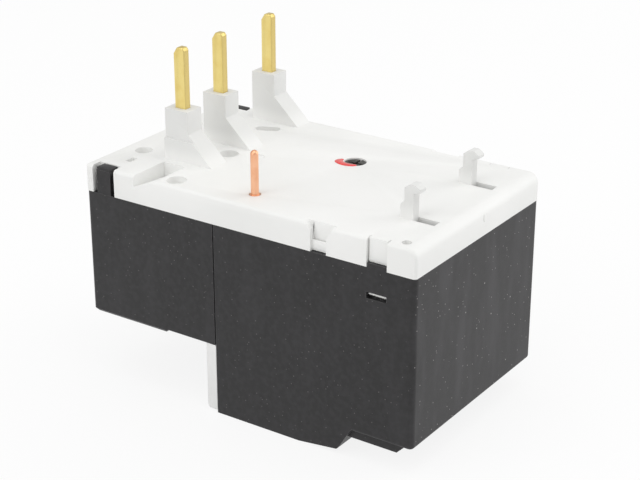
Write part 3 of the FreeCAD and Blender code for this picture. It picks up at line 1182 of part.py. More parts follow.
def make_pivot_clips():
    """Retaining rings under the two levers."""
    rings = []
    for name, centre, radius, outer, top in (
            ("trip", ("pivot_x", "pivot_y"), "pivot_r", "pivot_r + 2 * free_gap + run_gap", "hub_low - run_gap"),
            ("setting", ("setting_x", "setting_y"), "setting_pin_r", "setting_pin_r + 2 * free_gap",
             "arm_low - run_gap")):
        z = (f"{top} - 2 * free_gap", top)
        disc = rod(f"{name}_ring_disc", "z", centre, outer, z)
        hole = rod(f"{name}_ring_hole", "z", centre, radius, z)
        rings.append(cut_away(f"{name}_ring", disc, [hole]))
    return sub_part(grouped("ring_group", rings), "pivot_clips")


def make_contact_carrier():
    body = new_body("contact_carrier")
    z = ("carrier_low", "carrier_top")
    pad(body, "cross_bar", "z",
        rectangle(("carrier_left", "carrier_right"), ("carrier_front", "carrier_back")), z)
    arm_x = ("carrier_arm_x - carrier_arm_half", "carrier_arm_x + carrier_arm_half")
    pad(body, "contact_arm", "z", rectangle(arm_x, ("carrier_arm_front", "carrier_front")), z)
    # the post beside the trip lever's finger, and the sloped catch behind that finger
    post_x = ("pivot_x + 3 * arm_half", "pivot_x + 5 * arm_half")
    catch_back = "catch_front + 3 * catch_long"
    pad(body, "catch_post", "z", rectangle(post_x, ("carrier_front", catch_back)), ("carrier_low", "arm_low - free_gap"))
    pad(body, "catch", "z",
        [("pivot_x - arm_half", "catch_front + catch_long + free_gap + arm_half"),
         ("pivot_x + arm_half", "catch_front + catch_long + free_gap"), (post_x[0], "catch_front + catch_long + free_gap"),
         (post_x[0], catch_back), ("pivot_x - arm_half", catch_back)],
        ("catch_low", "arm_low - free_gap"))
    slot_y = "(closed_front - tip_thick - contact_gap - tip_thick - bridge_thick)"
    pocket(body, "bridge_slot", "x",
           rectangle((f"{slot_y} - fit_gap", f"{slot_y} + bridge_thick + fit_gap"),
                     ("contact_level - bridge_high - fit_gap", "contact_level + bridge_high + fit_gap")), arm_x)
    return sub_part(body, "contact_carrier")


def make_bridge(name, middle, y, tip_span):
    strip = block(f"{name}_strip", (f"{middle} - bridge_half", f"{middle} + bridge_half"), y,
                  ("contact_level - bridge_high", "contact_level + bridge_high"))
    tips = [rod(f"{name}_tip_{count}", "y", (f"{middle} + ({side}) * small_pitch / 2", "contact_level"), "tip_r", tip_span)
            for count, side in enumerate((-1, 1))]
    return sub_part(joined(f"{name}_solid", [strip] + tips), name)


def make_bridges():
    closed = "(closed_front - 2 * tip_thick - contact_gap)"
    make_bridge("closed_bridge", "(small_pitch / 2)", (f"{closed} - bridge_thick", closed),
                (closed, f"{closed} + tip_thick"))
    opened = "(carrier_front - bridge_thick)"
    make_bridge("open_bridge", "(-1.5 * small_pitch)", (opened, "carrier_front"),
                (f"{opened} - tip_thick", opened))


def make_trip_flag():
    flag = block("flag", ("flag_x - flag_half", "flag_x + flag_half"), ("flag_front", "carrier_front"),
                 ("flag_z - flag_high", "flag_z + flag_high"))
    return sub_part(flag, "trip_flag")


# ---- controls ----

def make_dial():
    body = new_body("current_dial")
    centre = [("dial_x", "dial_z")]
    post(body, "dial_face", "y", centre, "dial_r", ("-dial_stand", "shell + run_gap"))
    post(body, "dial_collar", "y", centre, "collar_r", ("shell + run_gap", "shell + run_gap + flange"))
    post(body, "dial_shaft", "y", centre, "shaft_r", ("shell + run_gap + flange", "cam_front"))
    doc.recompute()
    # the cam: its radius grows evenly over the dial's turn
    turn = math.radians(number("dial_turn"))
    low, high = number("cam_low_r"), number("cam_high_r")
    spots = []
    for step in range(9):
        angle = math.pi + turn * step / 8
        radius = low + (high - low) * step / 8
        spots.append((radius * math.cos(angle), radius * math.sin(angle)))
    cam = new_sketch(body, "cam_sketch", "y", "cam_front")
    middle = Vector(number("dial_x"), number("dial_z"), 0)
    poles = [middle + Vector(u, v, 0) for u, v in spots]
    curve = Part.BSplineCurve()
    curve.interpolate(poles)
    cam.addGeometry(curve)
    cam.addGeometry(Part.LineSegment(poles[-1], poles[0]))
    cam.addConstraint(Sketcher.Constraint("Coincident", 0, 2, 1, 1))
    cam.addConstraint(Sketcher.Constraint("Coincident", 1, 2, 0, 1))
    cam_pad = body.newObject("PartDesign::Pad", "cam")
    cam_pad.Profile = cam
    cam_pad.Reversed = True
    bind(cam_pad, "Length", "cam_thick")
    pocket(body, "dial_slot", "y",
           rectangle(("dial_x - dial_r + shell", "dial_x + dial_r - shell"),
                     ("dial_z - free_gap * 2", "dial_z + free_gap * 2")), ("-dial_stand", "free_gap * 2"))
    return sub_part(body, "current_dial")


def make_reset_button():
    body = new_body("reset_button")
    flange_back = "shell + run_gap + flange"
    pad(body, "reset_cap", "y",
        rectangle(("reset_x - button_half", "reset_x + button_half"), ("button_z - button_half", "button_z + button_half")),
        ("-button_stand", flange_back))
    soften(body, "Fillet", "reset_cap_edges", "free_gap * 2",
           [("y", {"x": ["reset_x - button_half", "reset_x + button_half"],
                   "z": ["button_z - button_half", "button_z + button_half"]})])
    flange = "(button_half + flange_out)"
    pad(body, "reset_flange", "y",
        rectangle((f"reset_x - {flange}", f"reset_x + {flange}"), (f"button_z - {flange}", f"button_z + {flange}")),
        ("shell + run_gap", flange_back))
    pad(body, "reset_stem", "y",
        rectangle(("reset_x - stem_half", "reset_x + stem_half"), ("button_z - stem_half", "button_z + stem_half")),
        (flange_back, "leg_back"))
    pad(body, "reset_leg", "y",
        rectangle(("reset_x - stem_half", "carrier_arm_x + carrier_arm_half"), ("leg_low", "button_z + stem_half")),
        ("leg_back - leg", "leg_back"))
    return sub_part(body, "reset_button")


def make_test_button():
    body = new_body("test_button")
    flange_back = "shell + run_gap + flange"
    pad(body, "test_cap", "y",
        rectangle(("test_x - test_half", "test_x + test_half"), ("button_z - button_half", "button_z + button_half")),
        ("-button_stand / 2", flange_back))
    soften(body, "Fillet", "test_cap_edges", "free_gap * 2",
           [("y", {"x": ["test_x - test_half", "test_x + test_half"],
                   "z": ["button_z - button_half", "button_z + button_half"]})])
    pad(body, "test_flange", "y",
        rectangle(("test_x - test_half - flange_out", "test_x + test_half + flange_out"),
                  ("button_z - button_half - flange_out", "button_z + button_half + flange_out")),
        ("shell + run_gap", flange_back))
    pad(body, "test_stem", "y",
        rectangle(("test_stem_x - test_stem_half", "test_stem_x + test_stem_half"),
                  ("button_z - test_stem_half", "button_z + test_stem_half")),
        (flange_back, "test_stem_back"))
    return sub_part(body, "test_button")


def make_springs():
    flange_back = "shell + run_gap + flange"
    sub_part(coil("reset_coil", "reset_x", "button_z", "reset_spring_r", (flange_back, "guide_front")), "reset_spring")
    sub_part(coil("test_coil", "test_stem_x", "button_z", "test_spring_r", (flange_back, "guide_front")), "test_spring")
    sub_part(coil("snap_coil", "snap_spring_x", "snap_spring_z", "snap_spring_r",
                  ("carrier_back", "rear_wall_front")), "snap_spring")


def make_link_pin():
    """The pin is thicker below the plate's face, where it sits in the ferrule."""
    centre = ("link_x", "link_y")
    top = f"({TOP} + link_tall - link_r)"
    shank = rod("link_shank", "z", centre, "link_shank_r", ("link_foot", TOP))
    free_end = rod("link_free_end", "z", centre, "link_r", (TOP, top))
    ball = doc.addObject("Part::Sphere", "link_point")
    bind(ball, "Radius", "link_r")
    for letter, text in zip("xyz", (*centre, top)):
        bind(ball, f"Placement.Base.{letter}", text)
    return sub_part(joined("link_pin_solid", [shank, free_end, ball]), "coil_link_pin")


make_top_plate()
make_front_cover()
make_rear_housing()
make_terminal_panel()
for count, (blade, pole) in enumerate(zip(BLADES, POLES), start=1):
    make_blade(count, blade)
    make_line_bar(count, blade, pole)
    make_bimetal(count, pole)
    make_sleeve(count, pole)
    make_heater(count, pole)
    make_load_bar(count, pole)
    make_strip_holder(count, pole)
make_load_clamps()
make_load_screws()
make_fixed_contacts()
make_link_bar()
make_small_screws()
make_saddles()
make_mechanism_base()
make_main_slide()
make_differential_slide()
make_differential_lever()
make_trip_lever()
make_compensating_strip()
make_calibration_screw()
make_sealing_lacquer()
make_setting_lever()
make_setting_pin()
make_pivot_clips()
make_contact_carrier()
make_bridges()
make_trip_flag()
make_dial()
make_reset_button()
make_test_button()
make_springs()
make_link_pin()
doc.recompute()

# ---- checks and export ----

faults = []
for thing in doc.Objects:
    if {"Invalid", "Error"} & set(thing.State):
        faults.append(f"{thing.Name} is {thing.State}")
    elif thing.TypeId == "PartDesign::Pocket" and thing.Shape.Volume > thing.BaseFeature.Shape.Volume - 1e-6:
        faults.append(f"{thing.Name} cuts nothing")
for name, solid in SUBPARTS.items():
    if solid.Shape.isNull() or not solid.Shape.isValid() or not solid.Shape.Solids:
        faults.append(f"{name} has no valid shape")
if faults:
    raise RuntimeError("\n".join(faults))

os.makedirs("parts", exist_ok=True)
for name, solid in SUBPARTS.items():
    solid.Shape.exportStep(os.path.join("parts", name + ".step"))
print(len(SUBPARTS), "sub-parts written")
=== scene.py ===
import math

import bmesh
import bpy
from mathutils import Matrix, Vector


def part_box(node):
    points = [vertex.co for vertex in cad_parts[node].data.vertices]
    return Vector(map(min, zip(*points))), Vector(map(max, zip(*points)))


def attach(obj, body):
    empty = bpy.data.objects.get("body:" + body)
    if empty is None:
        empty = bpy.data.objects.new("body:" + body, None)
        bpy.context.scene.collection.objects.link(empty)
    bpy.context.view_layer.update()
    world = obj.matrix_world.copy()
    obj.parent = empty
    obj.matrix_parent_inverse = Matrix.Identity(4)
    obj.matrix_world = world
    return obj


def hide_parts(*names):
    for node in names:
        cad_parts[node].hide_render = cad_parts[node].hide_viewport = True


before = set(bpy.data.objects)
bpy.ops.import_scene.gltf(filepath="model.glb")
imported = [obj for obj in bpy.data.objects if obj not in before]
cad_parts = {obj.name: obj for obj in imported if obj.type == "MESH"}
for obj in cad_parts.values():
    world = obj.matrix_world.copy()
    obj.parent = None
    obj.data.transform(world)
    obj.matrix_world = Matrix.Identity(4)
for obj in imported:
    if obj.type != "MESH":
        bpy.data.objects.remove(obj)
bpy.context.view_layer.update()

# Thermal overload relay that plugs under a contactor: two black mouldings and a light plate hold three heated
# bimetal strips, the trip mechanism, the small contacts and the terminals. Brass blades and a copper pin
# stand out of the plate. The relay stands on its underside, its dial and buttons in front, along -Y.
MM = 0.001
scene = bpy.context.scene
scene.view_settings.view_transform = "Standard"


# ---- Light plate: matt moulded polyamide in light grey, with the towers, the tongues and the hooks in one
# piece. It snaps over the black mouldings. Its mould was spark-eroded, so the skin has a very fine grain, and
# the gates and ejectors leave faint flow marks. Handling leaves a few specks.

plate_low, plate_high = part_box("top_plate")
side, front = plate_high.x, plate_low.y
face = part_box("calibration_screw")[1].z
# cuts start 1 mm above the face, and run 0.1 mm past the sides that they leave
above = face + 1 * MM
past = 0.1


class Signal:
    """The value of a node's socket, to be used in an expression."""

    def __init__(self, finish, socket):
        self.finish = finish
        self.socket = socket

    def combine(self, operation, first, second):
        return self.finish.node("Math", {"operation": operation}, {0: first, 1: second})

    def __add__(self, other):
        return self.combine("ADD", self, other)

    __radd__ = __add__

    def __sub__(self, other):
        return self.combine("SUBTRACT", self, other)

    def __rsub__(self, other):
        return self.combine("SUBTRACT", other, self)

    def __mul__(self, other):
        return self.combine("MULTIPLY", self, other)

    __rmul__ = __mul__

    def __lt__(self, other):
        return self.combine("LESS_THAN", self, other)


class Finish:
    """A material in the making, round its Principled BSDF."""

    def __init__(self, name, **constants):
        self.material = bpy.data.materials.new(name)
        self.material.use_nodes = True
        self.tree = self.material.node_tree
        self.shader = self.tree.nodes["Principled BSDF"]
        for socket, value in constants.items():
            self.shader.inputs[socket.replace("_", " ")].default_value = value

    def node(self, kind, settings, sockets, output=0):
        made = self.tree.nodes.new("ShaderNode" + kind)
        for name, value in settings.items():
            setattr(made, name, value)
        for name, value in sockets.items():
            if isinstance(value, Signal):
                self.tree.links.new(value.socket, made.inputs[name])
            else:
                made.inputs[name].default_value = value
        return Signal(self, made.outputs[output])

    def place(self, stretch=(1.0, 1.0, 1.0)):
        """Place on the piece in millimetres, scaled along each axis."""
        spot = self.node("TexCoord", {}, {}, "Object")
        scale = [1000.0 * factor for factor in stretch]
        return self.node("VectorMath", {"operation": "MULTIPLY"}, {0: spot, 1: scale})

    def along(self, axis, vector):
        """One part of a place or a direction."""
        return self.node("SeparateXYZ", {}, {0: vector}, axis)

    def facing(self, axis):
        """How far the surface faces along an axis of the piece, from -1 to 1."""
        return self.along(axis, self.node("TexCoord", {}, {}, "Normal"))

    def cloud(self, place, waves, detail=2.0):
        """Noise from 0 to 1, with so many waves to the millimetre."""
        return self.node("TexNoise", {}, {"Vector": place, "Scale": waves, "Detail": detail})

    def ramp(self, value, low, high, start=0.0, end=1.0):
        """From start to end, smoothly, as the value goes from low to high."""
        return self.node("MapRange", {"interpolation_type": "SMOOTHSTEP"},
                         {"Value": value, 1: low, 2: high, 3: start, 4: end})

    def specks(self, place, spacing, radius, share):
        """Round specks in a share of the cells of a grid with that spacing."""
        cells = {"Vector": place, "Scale": 1.0 / spacing}
        distance = self.node("TexVoronoi", {}, cells, "Distance")
        chance = self.node("SeparateColor", {}, {0: self.node("TexVoronoi", {}, cells, "Color")})
        return self.ramp(distance, radius / spacing, 0.4 * radius / spacing) * (chance < share)

    def mix(self, factor, first, second):
        """Colour from first to second, each a signal or a red, a green and a blue."""
        ends = [one if isinstance(one, Signal) else [*one, 1.0] for one in (first, second)]
        return self.node("Mix", {"data_type": "RGBA"}, {0: factor, 6: ends[0], 7: ends[1]}, 2)

    def rounded(self, radius):
        """Normal of a surface whose edges are rounded to that radius in millimetres."""
        return self.node("Bevel", {"samples": 6}, {"Radius": radius * MM})

    def relief(self, height, depth, edge=0.0):
        """Normal of a surface with that relief in millimetres, and edges rounded to that radius."""
        sockets = {"Distance": depth * MM, "Height": height}
        if edge:
            sockets["Normal"] = self.rounded(edge)
        return self.node("Bump", {}, sockets)

    def edges(self, radius):
        """1 on the sharp edges of the piece and 0 on its faces."""
        flat = self.node("NewGeometry", {}, {}, "True Normal")
        aligned = self.node("VectorMath", {"operation": "DOT_PRODUCT"}, {0: self.rounded(radius), 1: flat},
                            "Value")
        return self.ramp(aligned, 0.99, 0.8)

    def feed(self, **sockets):
        for name, signal in sockets.items():
            self.tree.links.new(signal.socket, self.shader.inputs[name.replace("_", " ")])
        return self.material


def dress(material, *names):
    """Puts the material on CAD nodes."""
    for name in names:
        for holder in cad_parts[name].material_slots:
            holder.material = material


def moulded_light(name, colour, shade, edge=0.25):
    """Light plastic, with painted shade that makes what stands up out of the plate a little darker."""
    finish = Finish(name, IOR=1.5)
    place = finish.place()
    flow = finish.cloud(place, 0.06, 3.0)
    grain = finish.cloud(place, 7.0, 3.0)
    dust = finish.specks(place, spacing=3.1, radius=0.09, share=0.12)
    tone = finish.mix(finish.ramp(flow, 0.3, 0.7), colour, shade)
    # painted shade: what rises above the plate's face is darkened to nine tenths of the shade tone
    raised_painted_shade = finish.ramp(finish.along("Z", place), face / MM + 0.3, face / MM + 3.5)
    tone = finish.mix(raised_painted_shade, tone, [0.90 * level for level in shade])
    return finish.feed(
        Base_Color=finish.mix(dust * 0.55, tone, (0.30, 0.28, 0.25)),
        Roughness=0.42 + 0.12 * flow + 0.06 * grain,
        Normal=finish.relief(grain, 0.012, edge))


def behind(start, stop):
    """The stretch of y between two distances behind the plate's front, in millimetres."""
    return front + start * MM, front + stop * MM


def inward(sign, near, far):
    """The stretch of x between two distances in from the plate's right (1) or left (-1) side."""
    return sorted((sign * (side - far * MM), sign * (side - near * MM)))


def rectangle(first, second):
    """The corners of a rectangle, from its stretch along each of two axes."""
    return [(first[0], second[0]), (first[1], second[0]), (first[1], second[1]), (first[0], second[1])]


def circle(x, y, radius, steps=40):
    return [(x + radius * math.cos(math.tau * step / steps), y + radius * math.sin(math.tau * step / steps))
            for step in range(steps)]


def oblong(x, y, run, radius, steps=12):
    """A strip with round ends, which reaches the vector run each way from its middle."""
    outline = []
    for end in (1, -1):
        for step in range(steps + 1):
            swing = math.pi * step / steps + math.atan2(run.y, run.x) - end * math.pi / 2
            outline.append((x + end * run.x + radius * math.cos(swing),
                            y + end * run.y + radius * math.sin(swing)))
    return outline


def prism(mesh, axis, outline, low, high):
    """A closed prism along an axis, added to a bmesh; the outline holds the other two coordinates in turn."""
    rings = [[mesh.verts.new(corner[:axis] + (level,) + corner[axis:]) for corner in outline]
             for level in (low, high)]
    mesh.faces.new(rings[0])
    mesh.faces.new(rings[1])
    for here in range(len(outline)):
        following = (here + 1) % len(outline)
        mesh.faces.new((rings[0][here], rings[0][following], rings[1][following], rings[1][here]))


def piece_of(name, mesh):
    """The finished object of a bmesh, with its faces outwards."""
    bmesh.ops.recalc_face_normals(mesh, faces=mesh.faces)
    data = bpy.data.meshes.new(name)
    mesh.to_mesh(data)
    mesh.free()
    piece = bpy.data.objects.new(name, data)
    scene.collection.objects.link(piece)
    return piece


def smooth_by_angle(piece, angle):
    """Smooth shading, with every edge sharper than that angle kept sharp."""
    mesh = bmesh.new()
    mesh.from_mesh(piece.data)
    for surface in mesh.faces:
        surface.smooth = True
    for edge in mesh.edges:
        edge.smooth = edge.is_manifold and edge.calc_face_angle() < math.radians(angle)
    mesh.to_mesh(piece.data)
    mesh.free()
    # normals that the mesh was loaded with would override the edges
    if "custom_normal" in piece.data.attributes:
        piece.data.attributes.remove(piece.data.attributes["custom_normal"])


def merged(node):
    """A bmesh of a CAD node with its corners joined and its flat faces whole."""
    mesh = bmesh.new()
    mesh.from_mesh(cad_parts[node].data)
    bmesh.ops.remove_doubles(mesh, verts=mesh.verts, dist=0.001 * MM)
    bmesh.ops.dissolve_limit(mesh, angle_limit=math.radians(0.6), verts=mesh.verts, edges=mesh.edges)
    return mesh


def round_edges(piece, radius, segments, angle):
    """A live bevel on every edge sharper than that angle."""
    rounding = piece.modifiers.new("rounded_edges", "BEVEL")
    rounding.width = radius
    rounding.segments = segments
    rounding.limit_method = "ANGLE"
    rounding.angle_limit = math.radians(angle)


def settled(piece):
    """The plain mesh that a piece's modifiers make."""
    return bpy.data.meshes.new_from_object(piece.evaluated_get(bpy.context.evaluated_depsgraph_get()))


def finished(name, mesh, material, changes=(), radius=0.0, segments=3, angle=32):
    """A piece of the case from a bmesh, joined to or cut by other pieces, with its edges rounded."""
    piece = piece_of(name, mesh)
    for operation, other in changes:
        change = piece.modifiers.new(other.name, "BOOLEAN")
        change.operation = operation
        change.object = other
    if radius:
        round_edges(piece, radius * MM, segments, 40)
    piece.data = settled(piece)
    piece.modifiers.clear()
    for operation, other in changes:
        bpy.data.objects.remove(other)
    smooth_by_angle(piece, angle)
    piece.data.materials.clear()
    piece.data.materials.append(material)
    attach(piece, "case")
    return piece


# sunk marks of cores and ejectors: three round ones, an oblong one and a small one
cuts = bmesh.new()
for x, y, radius, depth in ((10.5, 4.7, 1.76, 1.6), (19.6, 20.2, 1.96, 1.4), (2.7, 19.7, 1.96, 1.7)):
    prism(cuts, 2, circle(x * MM, front + y * MM, radius * MM), face - depth * MM, above)
run = Vector((-0.62 * MM, 1.31 * MM))
prism(cuts, 2, oblong(-13.4 * MM, front + 17.4 * MM, run, 1.2 * MM), face - 1.4 * MM, above)
prism(cuts, 2, rectangle((14.8 * MM, 17.1 * MM), behind(5.6, 6.8)), face - 0.7 * MM, above)

# room for the cover's hooked bosses, and sloped corners at both ends of the middle notches
notch_front, notch_rear = behind(52.7, 56.1)
front_slope_run, front_slope_foot = 1.2 * MM, face - 1.4 * MM
rear_slope_run, rear_slope_foot = 1.5 * MM, face - 2.7 * MM
slope_top = above - 0.9 * MM
boss_room, boss_room_floor = behind(1.8, 7.1), face - 1.0 * MM
for sign in (1, -1):
    prism(cuts, 2, rectangle(inward(sign, -past, 2.45), boss_room), boss_room_floor, above)
    skirt = inward(sign, -past, 1.3)
    prism(cuts, 0, [(notch_rear - past * MM, rear_slope_foot), (notch_rear + rear_slope_run, slope_top),
                    (notch_rear - past * MM, above)], *skirt)
    prism(cuts, 0, [(notch_front + past * MM, front_slope_foot), (notch_front + past * MM, above),
                    (notch_front - front_slope_run, slope_top)], *skirt)

# the finger hollow beside the first tower is deepest at its inner corner and runs out to the rear
hollow = bmesh.new()
inner, outer = 13.35 * MM, side + past * MM
deep_end, shallow_end = behind(12.05, 17.4)
inner_depth, outer_depth = 3.1 * MM, 2.2 * MM
floor = [(inner, deep_end, face - inner_depth), (outer, deep_end, face - outer_depth),
         (inner, shallow_end, face), (outer, shallow_end, face)]
for corner in floor + [corner[:2] + (above,) for corner in floor]:
    hollow.verts.new(corner)
bmesh.ops.convex_hull(hollow, input=hollow.verts)

# a floor under the hollow, and a wall and a ledge behind each middle notch
walls = bmesh.new()
prism(walls, 2, rectangle((12.3 * MM, side - 3.0 * MM), behind(11.0, 16.5)), face - 4.0 * MM, face - 2.5 * MM)
for sign in (1, -1):
    prism(walls, 2, rectangle(inward(sign, 1.5, 2.3), behind(51.6, 57.2)), face - 4.6 * MM, face - 2.5 * MM)
    prism(walls, 2, rectangle(inward(sign, 0.7, 1.24), behind(52.5, 56.3)), face - 5.4 * MM, face - 3.5 * MM)

# the hooks' noses are short and round, and the tops of their posts are set back
moulding = merged("top_plate")
nose_low, nose_middle, nose_top = (face + rise * MM for rise in (4.9, 5.5, 6.0))
post_middle, post_back = behind(66.0, 67.2)
nose_tip = front + 68.55 * MM
lower_rise, upper_rise, set_back = 0.3 * MM, 0.1 * MM, 0.35 * MM
for corner in moulding.verts:
    if corner.co.z > nose_low and corner.co.y > post_middle:
        if corner.co.y > post_back + 1.0 * MM:
            corner.co.y = nose_tip
            corner.co.z += lower_rise if corner.co.z < nose_middle else upper_rise
        elif corner.co.z > nose_top:
            corner.co.y += set_back

light_polyamide = moulded_light("light_polyamide", (0.845, 0.845, 0.83), (0.815, 0.817, 0.80), edge=0.0)
plate = finished("plate_moulding", moulding, light_polyamide,
                 [("UNION", piece_of("plate_walls", walls)), ("DIFFERENCE", piece_of("plate_cuts", cuts)),
                  ("DIFFERENCE", piece_of("plate_hollow", hollow))], 0.28)
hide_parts("top_plate")

# what is left of the gate stands out a little from the rear skirt, near its middle
gate = bmesh.new()
bmesh.ops.create_uvsphere(gate, u_segments=24, v_segments=12, radius=1.0)
gate_place = Vector((-1.3 * MM, plate_high.y - 0.03 * MM, face - 2.1 * MM))
for vertex in gate.verts:
    x, y, z = vertex.co
    vertex.co = gate_place + Vector((0.5 * x * MM, 0.18 * y * MM, 0.85 * z * MM))
finished("gate_vestige", gate, light_polyamide)

dress(moulded_light("panel_polyamide", (0.83, 0.83, 0.82), (0.80, 0.80, 0.79)), "terminal_panel")


# ---- Black mouldings: front cover and rear housing in glass-filled polyamide, satin from the mould. The
# glass shows as a faint mottle, edges wear a little shinier and lighter, and pale dust and lint settle on the
# faces, more on the rear, where broad lighter patches are partly dusty haze and partly painted sheen.

def moulded_black(name):
    finish = Finish(name, IOR=1.43)
    place = finish.place()
    mottle = finish.cloud(place, 0.9, 5.0)
    haze = finish.cloud(finish.place((0.22, 0.22, 0.06)), 1.0, 4.0)
    grain = finish.cloud(place, 6.0, 3.0)
    # faces turned to the rear get more dust specks and lighter haze: the specks are dust, the haze is partly
    # a painted sheen that makes the rear side lighter
    rear = finish.ramp(finish.facing("Y"), 0.2, 0.8, 0.3, 1.0)
    dust = (finish.specks(place, spacing=0.9, radius=0.13, share=0.45)
            + finish.specks(place, spacing=3.3, radius=0.2, share=0.4))
    worn = finish.edges(0.22) * finish.ramp(finish.cloud(place, 0.5), 0.35, 0.65, 0.35, 1.0)
    skin = finish.mix(finish.ramp(mottle, 0.35, 0.7), (0.015, 0.0145, 0.0152), (0.023, 0.022, 0.0235))
    rear_haze_and_sheen = finish.mix(finish.ramp(haze, 0.42, 0.75, 0.0, 0.6) * rear, skin, (0.056, 0.054, 0.058))
    edged = finish.mix(worn * 0.7, rear_haze_and_sheen, (0.15, 0.147, 0.15))
    return finish.feed(
        Base_Color=finish.mix(dust * rear * 0.8, edged, (0.46, 0.44, 0.43)),
        Roughness=0.36 + 0.14 * haze + 0.08 * mottle - 0.08 * worn,
        Normal=finish.relief(grain, 0.014, 0.22))


black_polyamide = moulded_black("black_polyamide")
dress(black_polyamide, "rear_housing")

# the cover's rear rim is stepped, so a narrow groove shows where it meets the housing
cover_low, cover_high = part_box("front_cover")
groove = (cover_high.y - 0.26 * MM, cover_high.y + past * MM)
groove_depth, groove_top = 0.5, face - 5.5 * MM
seam = bmesh.new()
for sign in (1, -1):
    prism(seam, 2, rectangle(inward(sign, -past, groove_depth), groove), cover_low.z - past * MM, groove_top)
cover = finished("front_cover_grooved", merged("front_cover"), black_polyamide,
                 [("DIFFERENCE", piece_of("seam_groove", seam))], angle=20)
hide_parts("front_cover")

# hooked heads of the cover's side bosses, nearly flush with the plate
head_low, head_high = face - 0.95 * MM, face - 0.08 * MM
bosses = bmesh.new()
for sign in (1, -1):
    prism(bosses, 2, rectangle(inward(sign, 0.06, 2.3), behind(2.9, 6.3)), head_low, head_high)
finished("boss_heads", bosses, black_polyamide, radius=0.15)


# ---- Blades: drawn brass bar, punched to length, chamfered at the tip and riveted to the line bars.
# Draw lines run along the bar.

def drawn_metal(name, clean, tarnish, stretch, roughness, edge=0.15):
    finish = Finish(name, Metallic=1.0)
    lines = finish.cloud(finish.place(stretch), 1.0, 4.0)
    stain = finish.cloud(finish.place(), 0.35, 3.0)
    return finish.feed(
        Base_Color=finish.mix(finish.ramp(stain, 0.35, 0.75), clean, tarnish),
        Roughness=roughness + 0.16 * lines + 0.10 * stain,
        Normal=finish.relief(lines, 0.006, edge))


def punched_brass():
    """Drawn brass whose narrow faces, along Y, were cut by a punch and are rougher than the wide ones, with
    painted shade that makes them darker.
    """
    finish = Finish("blade_brass", Metallic=1.0)
    lines = finish.cloud(finish.place((9.0, 9.0, 0.25)), 1.0, 4.0)
    stain = finish.cloud(finish.place(), 0.35, 3.0)
    facing = finish.facing("Y")
    cut = finish.ramp(facing * facing, 0.35, 0.8)
    drawn = finish.mix(finish.ramp(stain, 0.35, 0.75), (0.86, 0.70, 0.27), (0.80, 0.62, 0.21))
    # painted shade: the faces along Y are darkened; only their higher roughness comes from the punch
    narrow_painted_shade = finish.mix(cut, drawn, (0.67, 0.53, 0.20))
    return finish.feed(
        # the sharp edges are darkened: a painted dark reflection along them
        Base_Color=finish.mix(finish.edges(0.2) * 0.55, narrow_painted_shade, (0.50, 0.40, 0.14)),
        Roughness=0.18 + 0.16 * lines + 0.10 * stain + 0.12 * cut,
        Normal=finish.relief(lines, 0.006))


# the foot is upset wider all round to rivet it, and the tip is cut back further in front than behind
upset, foot_height = 0.4 * MM, 1.0 * MM
front_cut, front_drop = 0.85 * MM, 1.3 * MM
rear_cut, rear_drop = 0.4 * MM, 0.55 * MM
blade_brass = punched_brass()
for pole in (1, 2, 3):
    low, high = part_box(f"blade_{pole}")
    near, far = low.y + upset, high.y - upset
    bar = bmesh.new()
    prism(bar, 0, [(near, low.z), (far, low.z), (far, high.z - rear_drop), (far - rear_cut, high.z),
                   (near + front_cut, high.z), (near, high.z - front_drop)], low.x + upset, high.x - upset)
    rivet = bmesh.new()
    prism(rivet, 2, rectangle((low.x, high.x), (low.y, high.y)), low.z, low.z + foot_height)
    blade = finished(f"blade_{pole}_punched", bar, blade_brass,
                     [("UNION", piece_of("blade_rivet", rivet))], 0.16)
    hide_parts(f"blade_{pole}")

contact_brass = drawn_metal("contact_brass", (0.82, 0.66, 0.26), (0.66, 0.50, 0.18), (6.0, 0.4, 0.4), 0.26)
dress(contact_brass, "open_contact_in", "open_contact_out", "closed_contact_in", "closed_contact_out",
      "link_bar", "closed_bridge", "open_bridge")


# ---- Copper: the bare pin that reaches up to the coil terminal, and the punched bars of the three poles.
# The pin is drawn wire with a rounded end. It browns a little where fingers have held it.

pin_copper = drawn_metal("pin_copper", (0.96, 0.54, 0.34), (0.88, 0.44, 0.25), (7.0, 7.0, 0.3), 0.24, 0.1)
dress(pin_copper, "coil_link_pin")

bar_copper = drawn_metal("bar_copper", (0.80, 0.42, 0.25), (0.62, 0.29, 0.16), (5.0, 0.4, 0.4), 0.30)
for pole in (1, 2, 3):
    dress(bar_copper, f"line_bar_{pole}", f"load_bar_{pole}")


# ---- Heated strips: rolled bimetal in a woven glass sleeve, with a ribbon of resistance alloy wound round
# it. The strip stands on the load bar in a spot-welded steel angle.

def woven_glass(name):
    finish = Finish(name, Roughness=0.8)
    warp, weft = (finish.node("TexWave", {"bands_direction": "DIAGONAL"},
                              {"Vector": finish.place((1.0, lean, lean)), "Scale": 1.1})
                  for lean in (1.0, -1.0))
    weave = 0.5 * (warp + weft)
    return finish.feed(
        Base_Color=finish.mix(weave, (0.60, 0.55, 0.44), (0.86, 0.82, 0.70)),
        Normal=finish.relief(weave, 0.06, 0.1))


